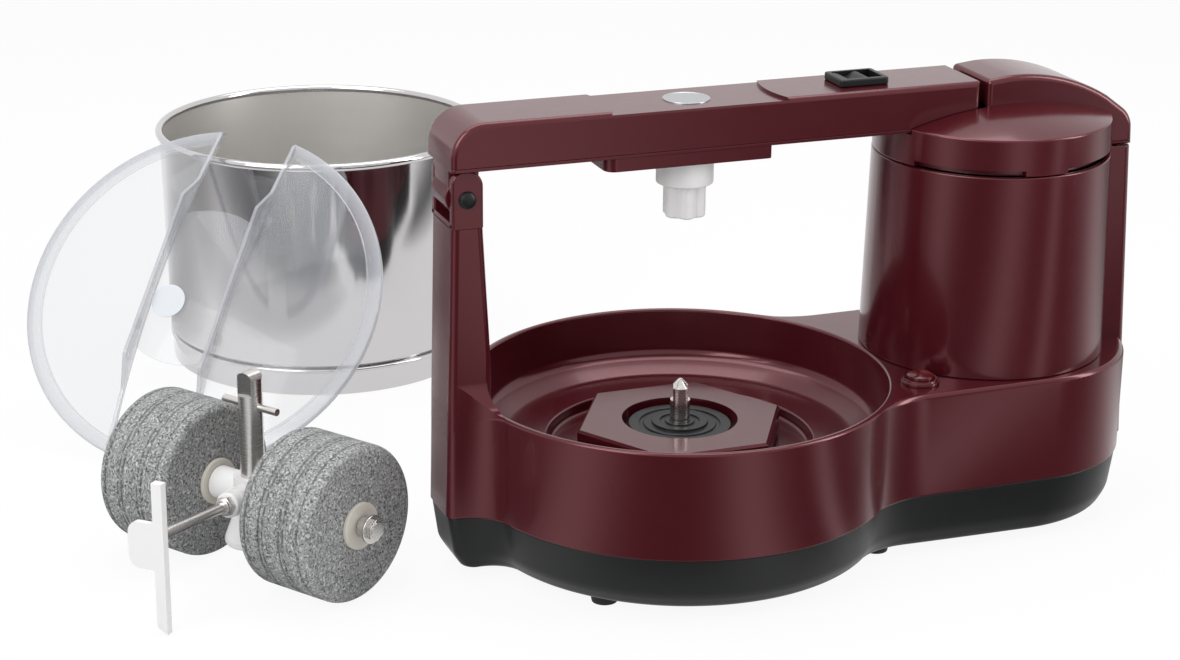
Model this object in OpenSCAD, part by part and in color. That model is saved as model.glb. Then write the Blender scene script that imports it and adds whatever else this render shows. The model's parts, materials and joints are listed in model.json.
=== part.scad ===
// Table-top wet grinder: machine with tilting arm, drum, lid and roller stones
// Millimetres, Z up, the table is z = 0

/* [Base] */
// inner radius of the basin at its rim
basin_r = 125; // [118:1:132]
// height of the basin rim above the table
rim_z = 105; // [102:1:110]
// height of the seam between the pan and the housing
pan_z = 40; // [36:1:44]
// wall thickness of the moulded shells
shell_t = 3; // [2:0.25:3.5]
// height of the rubber feet under the pan
foot_h = 7; // [5:0.5:8]

/* [Tower] */
// radius of the motor tower at the deck
tower_r = 75.5; // [72:0.5:80]
// height of the seam under the tower cap
seam_z = 230; // [225:1:234]
// width of the arm, the bridge and the spine
arm_w = 48; // [44:1:54]

/* [Arm] */
// height of the flat underside of the arm
arm_z = 250; // [248:1:256]
// depth of the arm from its underside to its middle top
arm_h = 26; // [24:1:30]
// width of the hinge post
post_w = 40; // [38:1:44]
// radius of the hinge pin
pin_r = 4; // [3:0.25:5]
// travel of the arm latch
latch_travel = 8; // [6:0.5:9]
// travel of the power button
button_travel = 3; // [2:0.25:4]

/* [Drive] */
// radius of the spindle
spindle_r = 6; // [5:0.25:7]
// corner radius of the hexagonal drum drive
hex_r = 66; // [60:1:70]
// radius of the driven pulley
pulley_r = 60; // [50:1:66]
// radius of the motor pulley
motor_pulley_r = 15; // [12:0.5:20]

/* [Drum] */
// outer radius of the drum wall at the top
drum_r = 114; // [106:1:116]
// height of the drum
drum_h = 168.5; // [160:0.5:172]
// thickness of the granite bed in the drum
bed_t = 18; // [12:1:24]

/* [Lid] */
// radius of the lid
lid_r = 123; // [119:1:126]
// angle by which the lid faces upwards as it leans
lid_lean = 42; // [36:1:48]
// width of the arm channel across the lid
slot_w = 52; // [46:1:60]

/* [Rollers] */
// radius of the roller stones
stone_r = 47; // [42:1:50]
// width of each roller stone
stone_w = 52; // [44:1:56]
// space between the two roller stones
stone_gap = 60; // [56:1:66]
// radius of the roller set's upright shaft
shaft_r = 7.25; // [6.5:0.25:8]
// radius of the stones' axle
axle_r = 5; // [4:0.25:6]

/* [Hidden] */
$fn = 96;

// clearances
run_gap = 0.05;
free_gap = 0.5;
part_gap = 0.1;

// colours
burgundy = [0.36, 0.10, 0.13];
charcoal = [0.13, 0.13, 0.14];
nylon = [0.93, 0.92, 0.88];
steel = [0.72, 0.73, 0.74];
granite = [0.55, 0.56, 0.57];
zinc = [0.62, 0.63, 0.65];

// plan of the base
base_r = basin_r + shell_t + 1;
motor_x = base_r + tower_r - 2.5;
deck_w = tower_r + 3.5;
end_x = motor_x + 12;
waist_f = 60;
waist_x = sqrt(pow(base_r + waist_f, 2) - pow(deck_w + waist_f, 2));
post_x = base_r + 24;
post_f = 25;
post_fx = sqrt(pow(base_r + post_f, 2) - pow(post_w / 2 + post_f, 2));
spine_x = end_x + deck_w + 3.5;
spine_draft = 0.045;
pan_top_in = 1;
pan_low_in = 9;
pan_floor = foot_h + shell_t;

// bowl of the basin
wall_foot_z = rim_z - 30;
floor_z = rim_z - 38;
well_z = floor_z - 7;
floor_r = basin_r - 21;
well_r = hex_r + 14;
well_under = well_z - shell_t;

// drive under the bowl
hex_top = rim_z - 27;
hex_low = well_z + 3;
spindle_top = rim_z - 2;
nut_low = pan_floor + 2;
pulley_low = nut_low + 4;
belt_w = 13;
pulley_top = pulley_low + belt_w;
bearing_low = pulley_top + 2;
bearing_r = spindle_r + 9;
bearing_h = 9;
cap_r = 31;
cap_hole_r = 35;

// motor in the tower
plate_t = 4;
plate_z = rim_z + plate_t;
motor_low = plate_z + 8;
stack_low = motor_low + 16;
stack_h = 48;
stack_r = tower_r - 25;
rotor_r = 28;
motor_top = stack_low + stack_h + 16;
motor_shaft_r = 6;
fan_low = motor_top + 6;
deck_hole_r = 30;

// tower and cap
tower_draft = 0.024;
seam_r = tower_r - tower_draft * (seam_z - rim_z);
cap_edge_z = seam_z + 22;
dome_rise = 12;
dome_r = (seam_r * seam_r + dome_rise * dome_rise) / (2 * dome_rise);
dome_z = cap_edge_z + dome_rise - dome_r;
bridge_x = motor_x - 17;
bridge_top = arm_z + 29.5;
bridge_r = 122;
bridge_cx = motor_x + 3;
vent_h = 3;

// arm and hinge
pin_x = -(base_r + 11);
pin_z = arm_z - 17;
post_top = pin_z - 17;
post_x0 = -(base_r + 20);
post_x1 = -(base_r + 1.5);
ear_t = 6;
knuckle_w = post_w - 2 * ear_t - 2 * free_gap;
arm_x0 = pin_x - 10;
arm_x1 = bridge_x - 5;
arm_seam = arm_z + 5;
arm_top = arm_z + arm_h;
pad_h = 1.6;
pad_x = 55;
pad_top = arm_top + pad_h;
cover_t = 2.5;
box_low = arm_z - 8;
box_x0 = -51;
box_x1 = 45;
socket_r = shaft_r + 0.3;
couple_r = shaft_r + 9.75;
lobe_r = shaft_r + 5.75;
lobe_z = box_low - 21;
couple_low = lobe_z - 15;
bolt_z = arm_z + 15;
bolt_w = 10;
bolt_h = 6;
latch_x = motor_x - 97;
slide_l = 16;
frame_l = slide_l + latch_travel + 2 * free_gap + 8;

// power button on the deck
button_x = motor_x - 71;
button_y = -58;
button_r = 8;
bezel_r = 11.5;

// drum standing on the table
drum_x = -111.6;
drum_y = 417.6;
bead_r = 2.7;
rim_r = drum_r + bead_r;
foot_r = drum_r - 4;
wall_t = 1.2;
ring_h = 19;
socket_z = 8;
bed_low = socket_z + wall_t;
bed_top = bed_low + bed_t;

// lid leaning on the drum
lid_turn = -124.5;
lid_side = -19;
lid_slew = -6;
lid_t = 2.5;
lid_rise = 18;
lid_brim = 9;
skirt_h = 4.5;
skirt_t = 2.5;
window_r = 56;
flange_h = 7;
flange_t = 2.2;
disc_r = 11.5;
dish_r = (pow(lid_r - lid_brim, 2) + pow(lid_rise, 2)) / (2 * lid_rise);
dish_z = lid_rise - dish_r;
function dish_under(x, y) = dish_z + sqrt(pow(dish_r - lid_t, 2) - x * x - y * y);

// lowest corner of the lid's skirt on the table, edge of its channel at the drum's rim
seat_gap = 0.8;
low_turn = max(0, asin(slot_w / 2 / lid_r) - abs(lid_slew));
lid_cz = lid_r * cos(low_turn) * cos(lid_lean) + skirt_h * sin(lid_lean);
level_y = (drum_h - bead_r * (1 - sin(lid_lean)) - lid_cz) / cos(lid_lean);
seat_x = slot_w / 2 / cos(lid_slew) - level_y * tan(lid_slew);
seat_y = level_y - dish_under(seat_x, level_y) * tan(lid_lean);
seat_rim = sqrt(pow(drum_r + bead_r * cos(lid_lean), 2) - pow(lid_side + seat_x, 2));
rim_out = seat_rim + seat_y * sin(lid_lean) - dish_under(seat_x, seat_y) * cos(lid_lean)
    + seat_gap / cos(lid_lean);
// upper corners of the lid, which meet the drum's wall if the rim stands above them
chord_y = sqrt(pow(lid_r, 2) - pow(slot_w / 2, 2));
function corner_x(s) = s * slot_w / 2 * cos(lid_slew) - chord_y * sin(lid_slew);
function corner_y(s) = s * slot_w / 2 * sin(lid_slew) + chord_y * cos(lid_slew);
function corner_z(s) = lid_cz + corner_y(s) * cos(lid_lean) - skirt_h * sin(lid_lean);
wall_slope = (drum_r - foot_r - 1.2) / (drum_h - bead_r - ring_h - 3);
function under_bead(z) = drum_r + (bead_r - (drum_h - bead_r - z) * cos(lid_lean)) / sin(lid_lean);
function wall_at(z) = max(foot_r + 1.2 + (z - ring_h - 3) * wall_slope, min(rim_r, under_bead(z)));
function corner_out(s) = sqrt(pow(wall_at(corner_z(s)), 2) - pow(lid_side + corner_x(s), 2))
    + corner_y(s) * sin(lid_lean) + skirt_h * cos(lid_lean) + seat_gap;
lid_out = level_y < corner_y(1) ? rim_out : max(corner_out(1), corner_out(-1));
lid_cx = drum_x + lid_out * cos(lid_turn) - lid_side * sin(lid_turn);
lid_cy = drum_y + lid_out * sin(lid_turn) + lid_side * cos(lid_turn);

// roller set standing on the table
roll_x = -253.6;
roll_y = 43.3;
roll_turn = -56.5;
stone_in = stone_gap / 2;
stone_out = stone_in + stone_w;
bush_r = axle_r + 6;
bush_flange_r = axle_r + 9;
collar_t = 2.5;
hub_half = stone_in - collar_t - free_gap;
hub_r = axle_r + 5;
shaft_low = stone_r + axle_r + 2;
shaft_top = stone_r + 76;
pin_drop = 21;
cross_r = 2.2;
cross_l = 42;
rod_z = stone_r - 1;
rod_r = 3;
rod_turn = 13;
rod_rise = 7.5;
boss_l = 24;
blade_y = 102;
blade_d = 5;
blade_w = 6.5;
blade_h = stone_r + 44;
tongue_w = 17;
tongue_h = 28;
tongue_z = stone_r - 9;
rod_start = axle_r + 6;
rod_l = blade_y / cos(rod_rise) - rod_start;

// middle of the whole laid-out set over the table
lid_left = lid_cx - lid_r * sqrt(1 - pow(cos(lid_lean) * cos(lid_turn), 2));
set_x0 = lid_left;
set_x1 = spine_x - pan_top_in;
set_y0 = -base_r;
set_y1 = drum_y + rim_r;
set_x = -(set_x0 + set_x1) / 2;
set_y = -(set_y0 + set_y1) / 2;

module place() { translate([set_x, set_y, 0]) children(); }
module at_drum() { translate([drum_x, drum_y, 0]) children(); }
module at_rollers() { translate([roll_x, roll_y, 0]) rotate(roll_turn) children(); }
module at_rod() {
    rotate(rod_turn) translate([0, 0, rod_z]) rotate([90 - rod_rise, 0, 0]) children();
}
module at_axle() { translate([0, 0, stone_r]) rotate([0, 90, 0]) children(); }
module at_lid() {
    translate([lid_cx, lid_cy, lid_cz]) rotate(lid_turn + 90) rotate([90 - lid_lean, 0, 0]) children();
}
// profile in X and Z drawn out across Y
module across(w) { rotate([90, 0, 0]) linear_extrude(height = w, center = true) children(); }
// profile in Y and Z drawn out along X
module along(x0, x1) {
    translate([x0, 0, 0]) rotate([90, 0, 90]) linear_extrude(height = x1 - x0) children();
}
module ring(r1, r0, z0, z1) {
    translate([0, 0, z0]) difference() {
        cylinder(r = r1, h = z1 - z0);
        translate([0, 0, -1]) cylinder(r = r0, h = z1 - z0 + 2);
    }
}

// plan of the base drawn in by a step
module plan(i) {
    circle(r = base_r - i);
    translate([0, -(deck_w - i)]) square([end_x, 2 * (deck_w - i)]);
    translate([end_x, 0]) circle(r = deck_w - i);
    translate([-(post_x - i), -(post_w / 2 - i)]) square([post_x, post_w - 2 * i]);
    for (s = [-1, 1]) {
        difference() {
            polygon([[0, 0], [waist_x, s * (deck_w + waist_f)], [waist_x, 0]]);
            translate([waist_x, s * (deck_w + waist_f)]) circle(r = waist_f + i);
        }
        difference() {
            polygon([[0, 0], [-post_fx, s * (post_w / 2 + post_f)], [-post_fx, 0]]);
            translate([-post_fx, s * (post_w / 2 + post_f)]) circle(r = post_f + i);
        }
    }
}

// the same plan between two heights, drawn in by one step below and another above
module slope_side(x0, x1, w, z0, z1, i0, i1) {
    along(x0, x1) polygon([[-(w - i0), z0], [w - i0, z0], [w - i1, z1], [-(w - i1), z1]]);
}
module slope_corner(cx, cy, f, z0, z1, i0, i1) {
    difference() {
        translate([0, 0, z0]) linear_extrude(height = z1 - z0) polygon([[0, 0], [cx, cy], [cx, 0]]);
        translate([cx, cy, z0]) cylinder(r1 = f + i0, r2 = f + i1, h = z1 - z0);
    }
}
module slope(z0, z1, i0, i1) {
    translate([0, 0, z0]) cylinder(r1 = base_r - i0, r2 = base_r - i1, h = z1 - z0);
    translate([end_x, 0, z0]) cylinder(r1 = deck_w - i0, r2 = deck_w - i1, h = z1 - z0);
    slope_side(0, end_x, deck_w, z0, z1, i0, i1);
    intersection() {
        slope_side(-post_x, 0, post_w / 2, z0, z1, i0, i1);
        across(post_w) polygon([[-(post_x - i0), z0], [0, z0], [0, z1], [-(post_x - i1), z1]]);
    }
    for (s = [-1, 1]) {
        slope_corner(waist_x, s * (deck_w + waist_f), waist_f, z0, z1, i0, i1);
        slope_corner(-post_fx, s * (post_w / 2 + post_f), post_f, z0, z1, i0, i1);
    }
}
module spine_foot(z0, z1, i0, i1) {
    intersection() {
        slope_side(end_x, spine_x, arm_w / 2, z0, z1, i0, i1);
        across(arm_w) polygon([[end_x, z0], [spine_x - i0, z0], [spine_x - i1, z1], [end_x, z1]]);
    }
}

foot_at = [[-75, 72], [-75, -72], [106, 58], [106, -58], [end_x + 48, 0]];
pillar_r = floor_r + 3;
pillar_at = concat([for (a = [118, -118, 57, -57]) [pillar_r * cos(a), pillar_r * sin(a)]],
    [[end_x + 20, 50], [end_x + 20, -50]]);

module base_pan() {
    color(charcoal) difference() {
        union() {
            slope(foot_h, pan_z, pan_low_in, pan_top_in);
            spine_foot(foot_h, pan_z, pan_low_in, pan_top_in);
        }
        difference() {
            union() {
                slope(pan_floor, pan_z + 1, pan_low_in + shell_t, pan_top_in + shell_t);
                spine_foot(pan_floor, pan_z + 1, pan_low_in + shell_t, pan_top_in + shell_t);
            }
            for (p = foot_at) translate([p[0], p[1], foot_h]) cylinder(r = 6, h = 8);
        }
        for (p = foot_at) translate([p[0], p[1], 0]) cylinder(r = 3, h = foot_h + 6);
        for (p = pillar_at) translate([p[0], p[1], 0]) {
            cylinder(r = 2.3, h = 20);
            cylinder(r = 4.4, h = foot_h + 1.8);
        }
        for (p = [[motor_x, 40], [motor_x, -40], [0, 100], [0, -100]])
            for (k = [-2 : 2]) translate([p[0] + 9 * k, p[1], 0]) cube([4, 16, 40], center = true);
    }
}

module rubber_feet() {
    color(charcoal) for (p = foot_at) translate([p[0], p[1], 0]) {
        cylinder(r1 = 7.5, r2 = 9, h = foot_h);
        cylinder(r = 3, h = foot_h + 6);
    }
}

module pan_screws() {
    color(zinc) for (p = pillar_at) translate([p[0], p[1], foot_h]) {
        difference() {
            cylinder(r = 4, h = 1.8);
            translate([0, 0, 0.4]) cube([1.2, 9, 1.6], center = true);
        }
        cylinder(r = 1.9, h = 16);
    }
}

module bowl_profile(t) {
    polygon([[0, well_z - t], [well_r + t, well_z - t], [well_r + t, floor_z - t],
        [floor_r + t / 3, floor_z - t],
        [basin_r - 4 + t, wall_foot_z - t / 2], [basin_r + t, rim_z], [0, rim_z]]);
}
module bowl_space() {
    rotate_extrude() polygon([[0, well_z], [well_r, well_z], [well_r, floor_z], [floor_r, floor_z],
        [basin_r - 4, wall_foot_z], [basin_r, rim_z], [basin_r, rim_z + 1], [0, rim_z + 1]]);
}
module post_shape() {
    polygon([[-post_x, pan_z + 10], [post_x0, post_top], [post_x1, post_top], [post_x1, rim_z + 40],
        [-(basin_r + 1), rim_z + 12], [-(basin_r + 0.5), rim_z], [-base_r, rim_z - 10],
        [-base_r, pan_z + 10]]);
}
module post_hollow() {
    polygon([[-(post_x - shell_t - 0.5), pan_z], [post_x0 + shell_t, post_top - shell_t],
        [post_x1 - shell_t, post_top - shell_t], [-(base_r + 3.5), rim_z + 5], [-(base_r + 3.5), pan_z]]);
}

module main_housing() {
    color(burgundy) difference() {
        union() {
            difference() {
                union() {
                    translate([0, 0, pan_z]) linear_extrude(height = rim_z - 4 - pan_z) plan(0);
                    slope(rim_z - 4, rim_z, 0, 2);
                    across(post_w) post_shape();
                }
                translate([0, 0, pan_z - 1])
                    linear_extrude(height = rim_z - shell_t - pan_z + 1) plan(shell_t);
                across(post_w - 2 * shell_t) post_hollow();
            }
            rotate_extrude() bowl_profile(shell_t);
            for (p = pillar_at) translate([p[0], p[1], pan_floor])
                cylinder(r = 5, h = rim_z - 40 - pan_floor);
            for (p = [4, 5]) translate([pillar_at[p][0], pillar_at[p][1], pan_floor])
                cylinder(r = 5, h = rim_z - 1 - pan_floor);
        }
        bowl_space();
        for (p = pillar_at) translate([p[0], p[1], 0]) cylinder(r = 1.9, h = foot_h + 17);
        translate([0, 0, well_under - 1]) cylinder(r = bearing_r + 1, h = shell_t + 2);
        translate([motor_x, 0, rim_z - 5]) cylinder(r = deck_hole_r, h = 6);
        translate([button_x, button_y, rim_z - 5]) cylinder(r = button_r + 1, h = 6);
        across(arm_w + 2 * part_gap) polygon([[end_x + 65, pan_z - 1], [spine_x + 9, pan_z - 1],
            [spine_x + 9, rim_z + 1], [end_x + 65, rim_z + 1]]);
        translate([end_x - 60, deck_w + 1, pan_z + 20]) rotate([90, 0, 0]) cylinder(r = 7, h = 6);
        for (p = [-1, 1]) translate([pin_x + 2, p * 10, post_top - 5]) cylinder(r = 2, h = 6);
    }
}

module ear_shape() {
    intersection() {
        translate([post_x0, post_top]) square([post_x1 - post_x0, 40]);
        union() {
            translate([post_x0, post_top]) square([post_x1 - post_x0, pin_z - post_top]);
            translate([pin_x, pin_z]) circle(r = arm_z - pin_z - 0.6);
        }
    }
}
module hinge_bracket() {
    color(burgundy) difference() {
        union() {
            for (s = [-1, 1]) translate([0, s * (post_w / 2 - ear_t / 2), 0]) across(ear_t) ear_shape();
            translate([post_x0, -post_w / 2, post_top]) cube([post_x1 - post_x0, post_w, 3]);
            for (p = [-1, 1]) translate([pin_x + 2, p * 10, post_top - 4.5]) cylinder(r = 2, h = 5);
        }
        translate([pin_x, 0, pin_z]) rotate([90, 0, 0]) cylinder(r = pin_r, h = post_w + 2, center = true);
    }
}

module hinge_pin() {
    color(charcoal) translate([pin_x, 0, pin_z]) rotate([90, 0, 0]) {
        cylinder(r = pin_r, h = post_w, center = true);
        for (s = [-1, 1]) translate([0, 0, s * (post_w / 2 + 0.7)])
            cylinder(r = pin_r + 0.9, h = 1.4, center = true);
    }
}

function spine_at(z) = spine_x - pan_top_in - spine_draft * (z - pan_z);

module tower_shell() {
    color(burgundy) difference() {
        union() {
            translate([motor_x, 0, rim_z]) cylinder(r1 = tower_r, r2 = seam_r, h = seam_z - rim_z);
            across(arm_w) polygon([[end_x + 35, rim_z], [end_x + 35, seam_z], [spine_at(seam_z), seam_z],
                [spine_at(pan_z), pan_z], [end_x + 65 + part_gap, pan_z], [end_x + 65 + part_gap, rim_z]]);
        }
        translate([motor_x, 0, rim_z - 1])
            cylinder(r1 = tower_r - shell_t, r2 = seam_r - shell_t, h = seam_z - rim_z + 2);
        across(arm_w - 2 * shell_t) polygon([[end_x + 30, rim_z - 1], [end_x + 30, seam_z + 1],
            [spine_at(seam_z) - shell_t, seam_z + 1], [spine_at(pan_z) - shell_t, pan_z - 1],
            [end_x + 60, pan_z - 1], [end_x + 60, rim_z - 1]]);
    }
}

module dome(t) {
    translate([motor_x, 0, 0]) intersection() {
        translate([0, 0, seam_z]) cylinder(r1 = seam_r - t, r2 = seam_r - t - 0.5, h = 60);
        translate([0, 0, dome_z]) sphere(r = dome_r - t, $fn = 160);
    }
}
module bridge_shape(t) {
    intersection() {
        translate([bridge_cx, bridge_top - bridge_r]) circle(r = bridge_r - t, $fn = 160);
        polygon([[bridge_x + t, seam_z], [bridge_x + t, bridge_top + 5],
            [spine_at(seam_z + 30) - t, bridge_top + 5], [spine_at(seam_z) - t, seam_z]]);
    }
}
module arm_trough(g, z0) {
    translate([0, -(arm_w / 2 + g), z0]) cube([bridge_x, arm_w + 2 * g, 60]);
}
module vent(a0, a1) {
    translate([motor_x, 0, seam_z - 1]) rotate(a0) rotate_extrude(angle = a1 - a0)
        translate([seam_r - shell_t - 2, 0]) square([shell_t + 4, vent_h + 1]);
}
module tower_cap() {
    color(burgundy) difference() {
        union() {
            difference() {
                union() {
                    dome(0);
                    across(arm_w) bridge_shape(0);
                }
                translate([0, 0, -0.01]) dome(shell_t);
                translate([0, 0, -0.01]) across(arm_w - 2 * shell_t) bridge_shape(shell_t);
            }
            intersection() {
                dome(0);
                arm_trough(1 + shell_t, arm_z - 1 - shell_t);
            }
        }
        arm_trough(1, arm_z - 1);
        for (m = [0, 1]) mirror([0, m, 0]) {
            vent(-157, -102);
            vent(-80, -29);
        }
        translate([bridge_x - 1, -bolt_w / 2 - 3, bolt_z - bolt_h / 2 - 3])
            cube([shell_t + 2, bolt_w + 6, bolt_h + 6]);
    }
}

module latch_keeper() {
    color(zinc) difference() {
        union() {
            translate([bridge_x, -bolt_w / 2 - 3, bolt_z - bolt_h / 2 - 3])
                cube([shell_t, bolt_w + 6, bolt_h + 6]);
            translate([bridge_x + shell_t, -bolt_w / 2 - 6, bolt_z - bolt_h / 2 - 5])
                cube([1.5, bolt_w + 12, bolt_h + 10]);
        }
        translate([bridge_x - 1, -bolt_w / 2 - free_gap, bolt_z - bolt_h / 2 - free_gap])
            cube([10, bolt_w + 2 * free_gap, bolt_h + 2 * free_gap]);
    }
}

module cord_gland() {
    color(charcoal) translate([end_x - 60, deck_w, pan_z + 20]) rotate([90, 0, 0]) difference() {
        union() {
            translate([0, 0, -2.5]) cylinder(r = 11, h = 2.5);
            cylinder(r = 7, h = shell_t);
            translate([0, 0, shell_t]) cylinder(r = 9, h = 5);
        }
        translate([0, 0, -5]) cylinder(r = 3.6, h = 30);
    }
}

module button_bezel() {
    color(burgundy) translate([button_x, button_y, 0]) {
        ring(bezel_r, button_r + free_gap, rim_z, rim_z + 2);
        ring(bezel_r - 1.2, button_r + free_gap, rim_z + 2, rim_z + 3.2);
        ring(button_r + 1, button_r + free_gap, rim_z - shell_t, rim_z);
    }
}
module power_switch() {
    color(charcoal) translate([button_x, button_y, 0]) {
        translate([0, 0, rim_z - 30]) cylinder(r = 9, h = 17);
        difference() {
            translate([0, 0, rim_z - 13]) cylinder(r = 10.5, h = 13 - shell_t);
            translate([0, 0, rim_z - 14]) cylinder(r = 9.2, h = 20);
            translate([0, 0, rim_z - 8]) cube([30, 6, 4], center = true);
        }
        translate([0, 0, rim_z - 13]) cylinder(r = 9.6, h = 1.5);
        for (s = [-3, 3]) translate([s, 0, rim_z - 36]) cube([0.8, 5, 14], center = true);
    }
}

screw_at = [45, 135, 225, 315];
module motor_plate() {
    color(zinc) translate([motor_x, 0, 0]) difference() {
        union() {
            translate([0, 0, rim_z]) cylinder(r = tower_r - shell_t - 1, h = plate_t);
            for (a = screw_at) rotate(a) translate([stack_r - 8, 0, plate_z])
                cylinder(r = 5, h = motor_low - plate_z);
        }
        translate([0, 0, rim_z - 1]) cylinder(r = 16, h = plate_t + 2);
        for (a = [0, 90, 180, 270]) rotate(a) translate([stack_r - 14, 0, rim_z - 1])
            cylinder(r = 9, h = plate_t + 2);
    }
}
module end_shield() {
    difference() {
        union() {
            cylinder(r = stack_r, h = 16);
            translate([0, 0, -4]) cylinder(r = 14, h = 5);
        }
        translate([0, 0, 3]) cylinder(r = stack_r - 4, h = 14);
        translate([0, 0, -5]) cylinder(r = motor_shaft_r + run_gap, h = 20);
        for (a = [0 : 45 : 315]) rotate(a) translate([stack_r - 18, 0, -1]) cylinder(r = 6, h = 6);
    }
}
module lower_end_shield() { color(zinc) translate([motor_x, 0, motor_low]) end_shield(); }
module upper_end_shield() { color(zinc) translate([motor_x, 0, motor_top]) mirror([0, 0, 1]) end_shield(); }
module motor_stator() {
    color([0.35, 0.36, 0.38]) translate([motor_x, 0, stack_low]) difference() {
        cylinder(r = stack_r, h = stack_h);
        translate([0, 0, -1]) cylinder(r = rotor_r + free_gap, h = stack_h + 2);
        for (a = [0 : 45 : 315]) rotate(a) translate([rotor_r + 7, 0, -1]) cylinder(r = 3, h = stack_h + 2);
    }
}
module stator_windings() {
    color([0.62, 0.33, 0.16]) translate([motor_x, 0, 0]) for (z = [stack_low - 9, stack_low + stack_h])
        ring(stack_r - 6, rotor_r + 3, z, z + 9);
}
module run_capacitor() {
    color([0.80, 0.81, 0.83]) translate([end_x - 50, 50, pan_floor]) {
        cylinder(r = 13, h = 50);
        for (s = [-4, 4]) translate([s, 0, 53]) cube([0.8, 6, 8], center = true);
    }
}
module bearing_housing() {
    color(zinc) {
        difference() {
            union() {
                translate([0, 0, bearing_low]) cylinder(r = bearing_r + 4, h = well_under - bearing_low);
                translate([0, 0, well_under - 5]) cylinder(r = bearing_r + 16, h = 5);
                translate([0, 0, well_under]) cylinder(r = bearing_r + 1, h = shell_t);
            }
            translate([0, 0, bearing_low - 1]) cylinder(r = bearing_r, h = bearing_h + 1);
            translate([0, 0, well_under - bearing_h]) cylinder(r = bearing_r, h = bearing_h + shell_t + 1);
            translate([0, 0, bearing_low - 1]) cylinder(r = bearing_r - 3, h = 60);
        }
    }
}
module spindle_bearings() {
    color(steel) for (z = [bearing_low, well_under - bearing_h])
        ring(bearing_r, spindle_r + run_gap, z, z + bearing_h);
}
// open belt round both pulleys
belt_t = 2.5;
belt_gap = 0.4;
belt_lean = asin((pulley_r - motor_pulley_r) / motor_x);
module belt_arc(r, a0, a1) {
    rotate(a0) rotate_extrude(angle = a1 - a0) translate([r + belt_gap, 0]) square([belt_t, belt_w - 4]);
}
module drive_belt() {
    color(charcoal) translate([0, 0, pulley_low + 2]) {
        belt_arc(pulley_r, 90 - belt_lean, 270 + belt_lean);
        translate([motor_x, 0, 0]) belt_arc(motor_pulley_r, belt_lean - 90, 90 - belt_lean);
        for (m = [0, 1]) mirror([0, m, 0]) rotate(-belt_lean) translate([0, pulley_r + belt_gap, 0])
            cube([motor_x * cos(belt_lean), belt_t, belt_w - 4]);
    }
}

module hex_coupling() {
    color(burgundy) difference() {
        union() {
            translate([0, 0, hex_low]) cylinder(r = hex_r, h = hex_top - hex_low - 1.5, $fn = 6);
            translate([0, 0, hex_top - 1.5]) cylinder(r1 = hex_r, r2 = hex_r - 1.7, h = 1.5, $fn = 6);
        }
        translate([0, 0, hex_low + 5]) cylinder(r = cap_hole_r, h = 30);
        translate([0, 0, hex_low - 1]) cylinder(r = spindle_r, h = 30);
        for (a = [0 : 60 : 300]) rotate(a + 30) translate([46, 0, hex_low - 1]) cylinder(r = 7, h = 8);
    }
}
module spindle() {
    color(steel) difference() {
        union() {
            translate([0, 0, nut_low - 0.5]) cylinder(r = spindle_r, h = spindle_top - 5 - nut_low + 0.5);
            translate([0, 0, spindle_top - 5]) cylinder(r1 = spindle_r, r2 = 1.2, h = 5);
        }
        for (s = [-1, 1]) rotate(-20) translate([s * (spindle_r + 3.4), 0, hex_top + 12 + 20])
            cube([10, 30, 40], center = true);
    }
}
module coupling_cap() {
    color(charcoal) translate([0, 0, hex_low + 5]) difference() {
        union() {
            cylinder(r = cap_r, h = hex_top - hex_low - 8);
            cylinder(r = 17, h = hex_top - hex_low - 6.5);
        }
        translate([0, 0, -1]) cylinder(r = spindle_r, h = 30);
        translate([0, 0, hex_top - hex_low - 9]) ring(24.5, 22, 0, 5);
        translate([0, 0, hex_top - hex_low - 7.5]) ring(12, 9, 0, 5);
    }
}
module driven_pulley() {
    color(charcoal) difference() {
        union() {
            ring(pulley_r, pulley_r - 6, pulley_low, pulley_top);
            translate([0, 0, pulley_low + 4]) cylinder(r = pulley_r - 5, h = 4);
            translate([0, 0, pulley_low]) cylinder(r = spindle_r + 8, h = belt_w);
        }
        translate([0, 0, pulley_low - 1]) cylinder(r = spindle_r, h = 30);
        for (a = [0 : 60 : 300]) rotate(a) translate([(pulley_r + spindle_r) / 2, 0, pulley_low - 1])
            cylinder(r = 11, h = 30);
    }
}
module pulley_nut() {
    color(zinc) difference() {
        translate([0, 0, nut_low]) cylinder(r = spindle_r + 5, h = 4, $fn = 6);
        translate([0, 0, nut_low - 1]) cylinder(r = spindle_r, h = 6);
    }
}

module motor_rotor() {
    color([0.60, 0.61, 0.62]) translate([motor_x, 0, 0]) {
        ring(rotor_r, motor_shaft_r, stack_low, stack_low + stack_h);
        ring(rotor_r - 3, rotor_r - 9, stack_low - 4, stack_low);
        ring(rotor_r - 3, rotor_r - 9, stack_low + stack_h, stack_low + stack_h + 4);
    }
}
module motor_shaft() {
    color(steel) translate([motor_x, 0, pulley_low - 2])
        cylinder(r = motor_shaft_r, h = fan_low + 14 - pulley_low);
}
module motor_pulley() {
    color(zinc) translate([motor_x, 0, pulley_low]) difference() {
        union() {
            cylinder(r = motor_pulley_r, h = belt_w);
            translate([0, 0, belt_w]) cylinder(r = motor_shaft_r + 4, h = 10);
        }
        translate([0, 0, -1]) cylinder(r = motor_shaft_r, h = 40);
    }
}
module cooling_fan() {
    color(charcoal) translate([motor_x, 0, fan_low]) difference() {
        union() {
            cylinder(r = 42, h = 1.6);
            cylinder(r = motor_shaft_r + 4, h = 12);
            for (a = [0 : 40 : 320]) rotate(a) translate([16, -0.8, 0]) cube([24, 1.6, 10]);
        }
        translate([0, 0, -1]) cylinder(r = motor_shaft_r, h = 30);
    }
}

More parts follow.
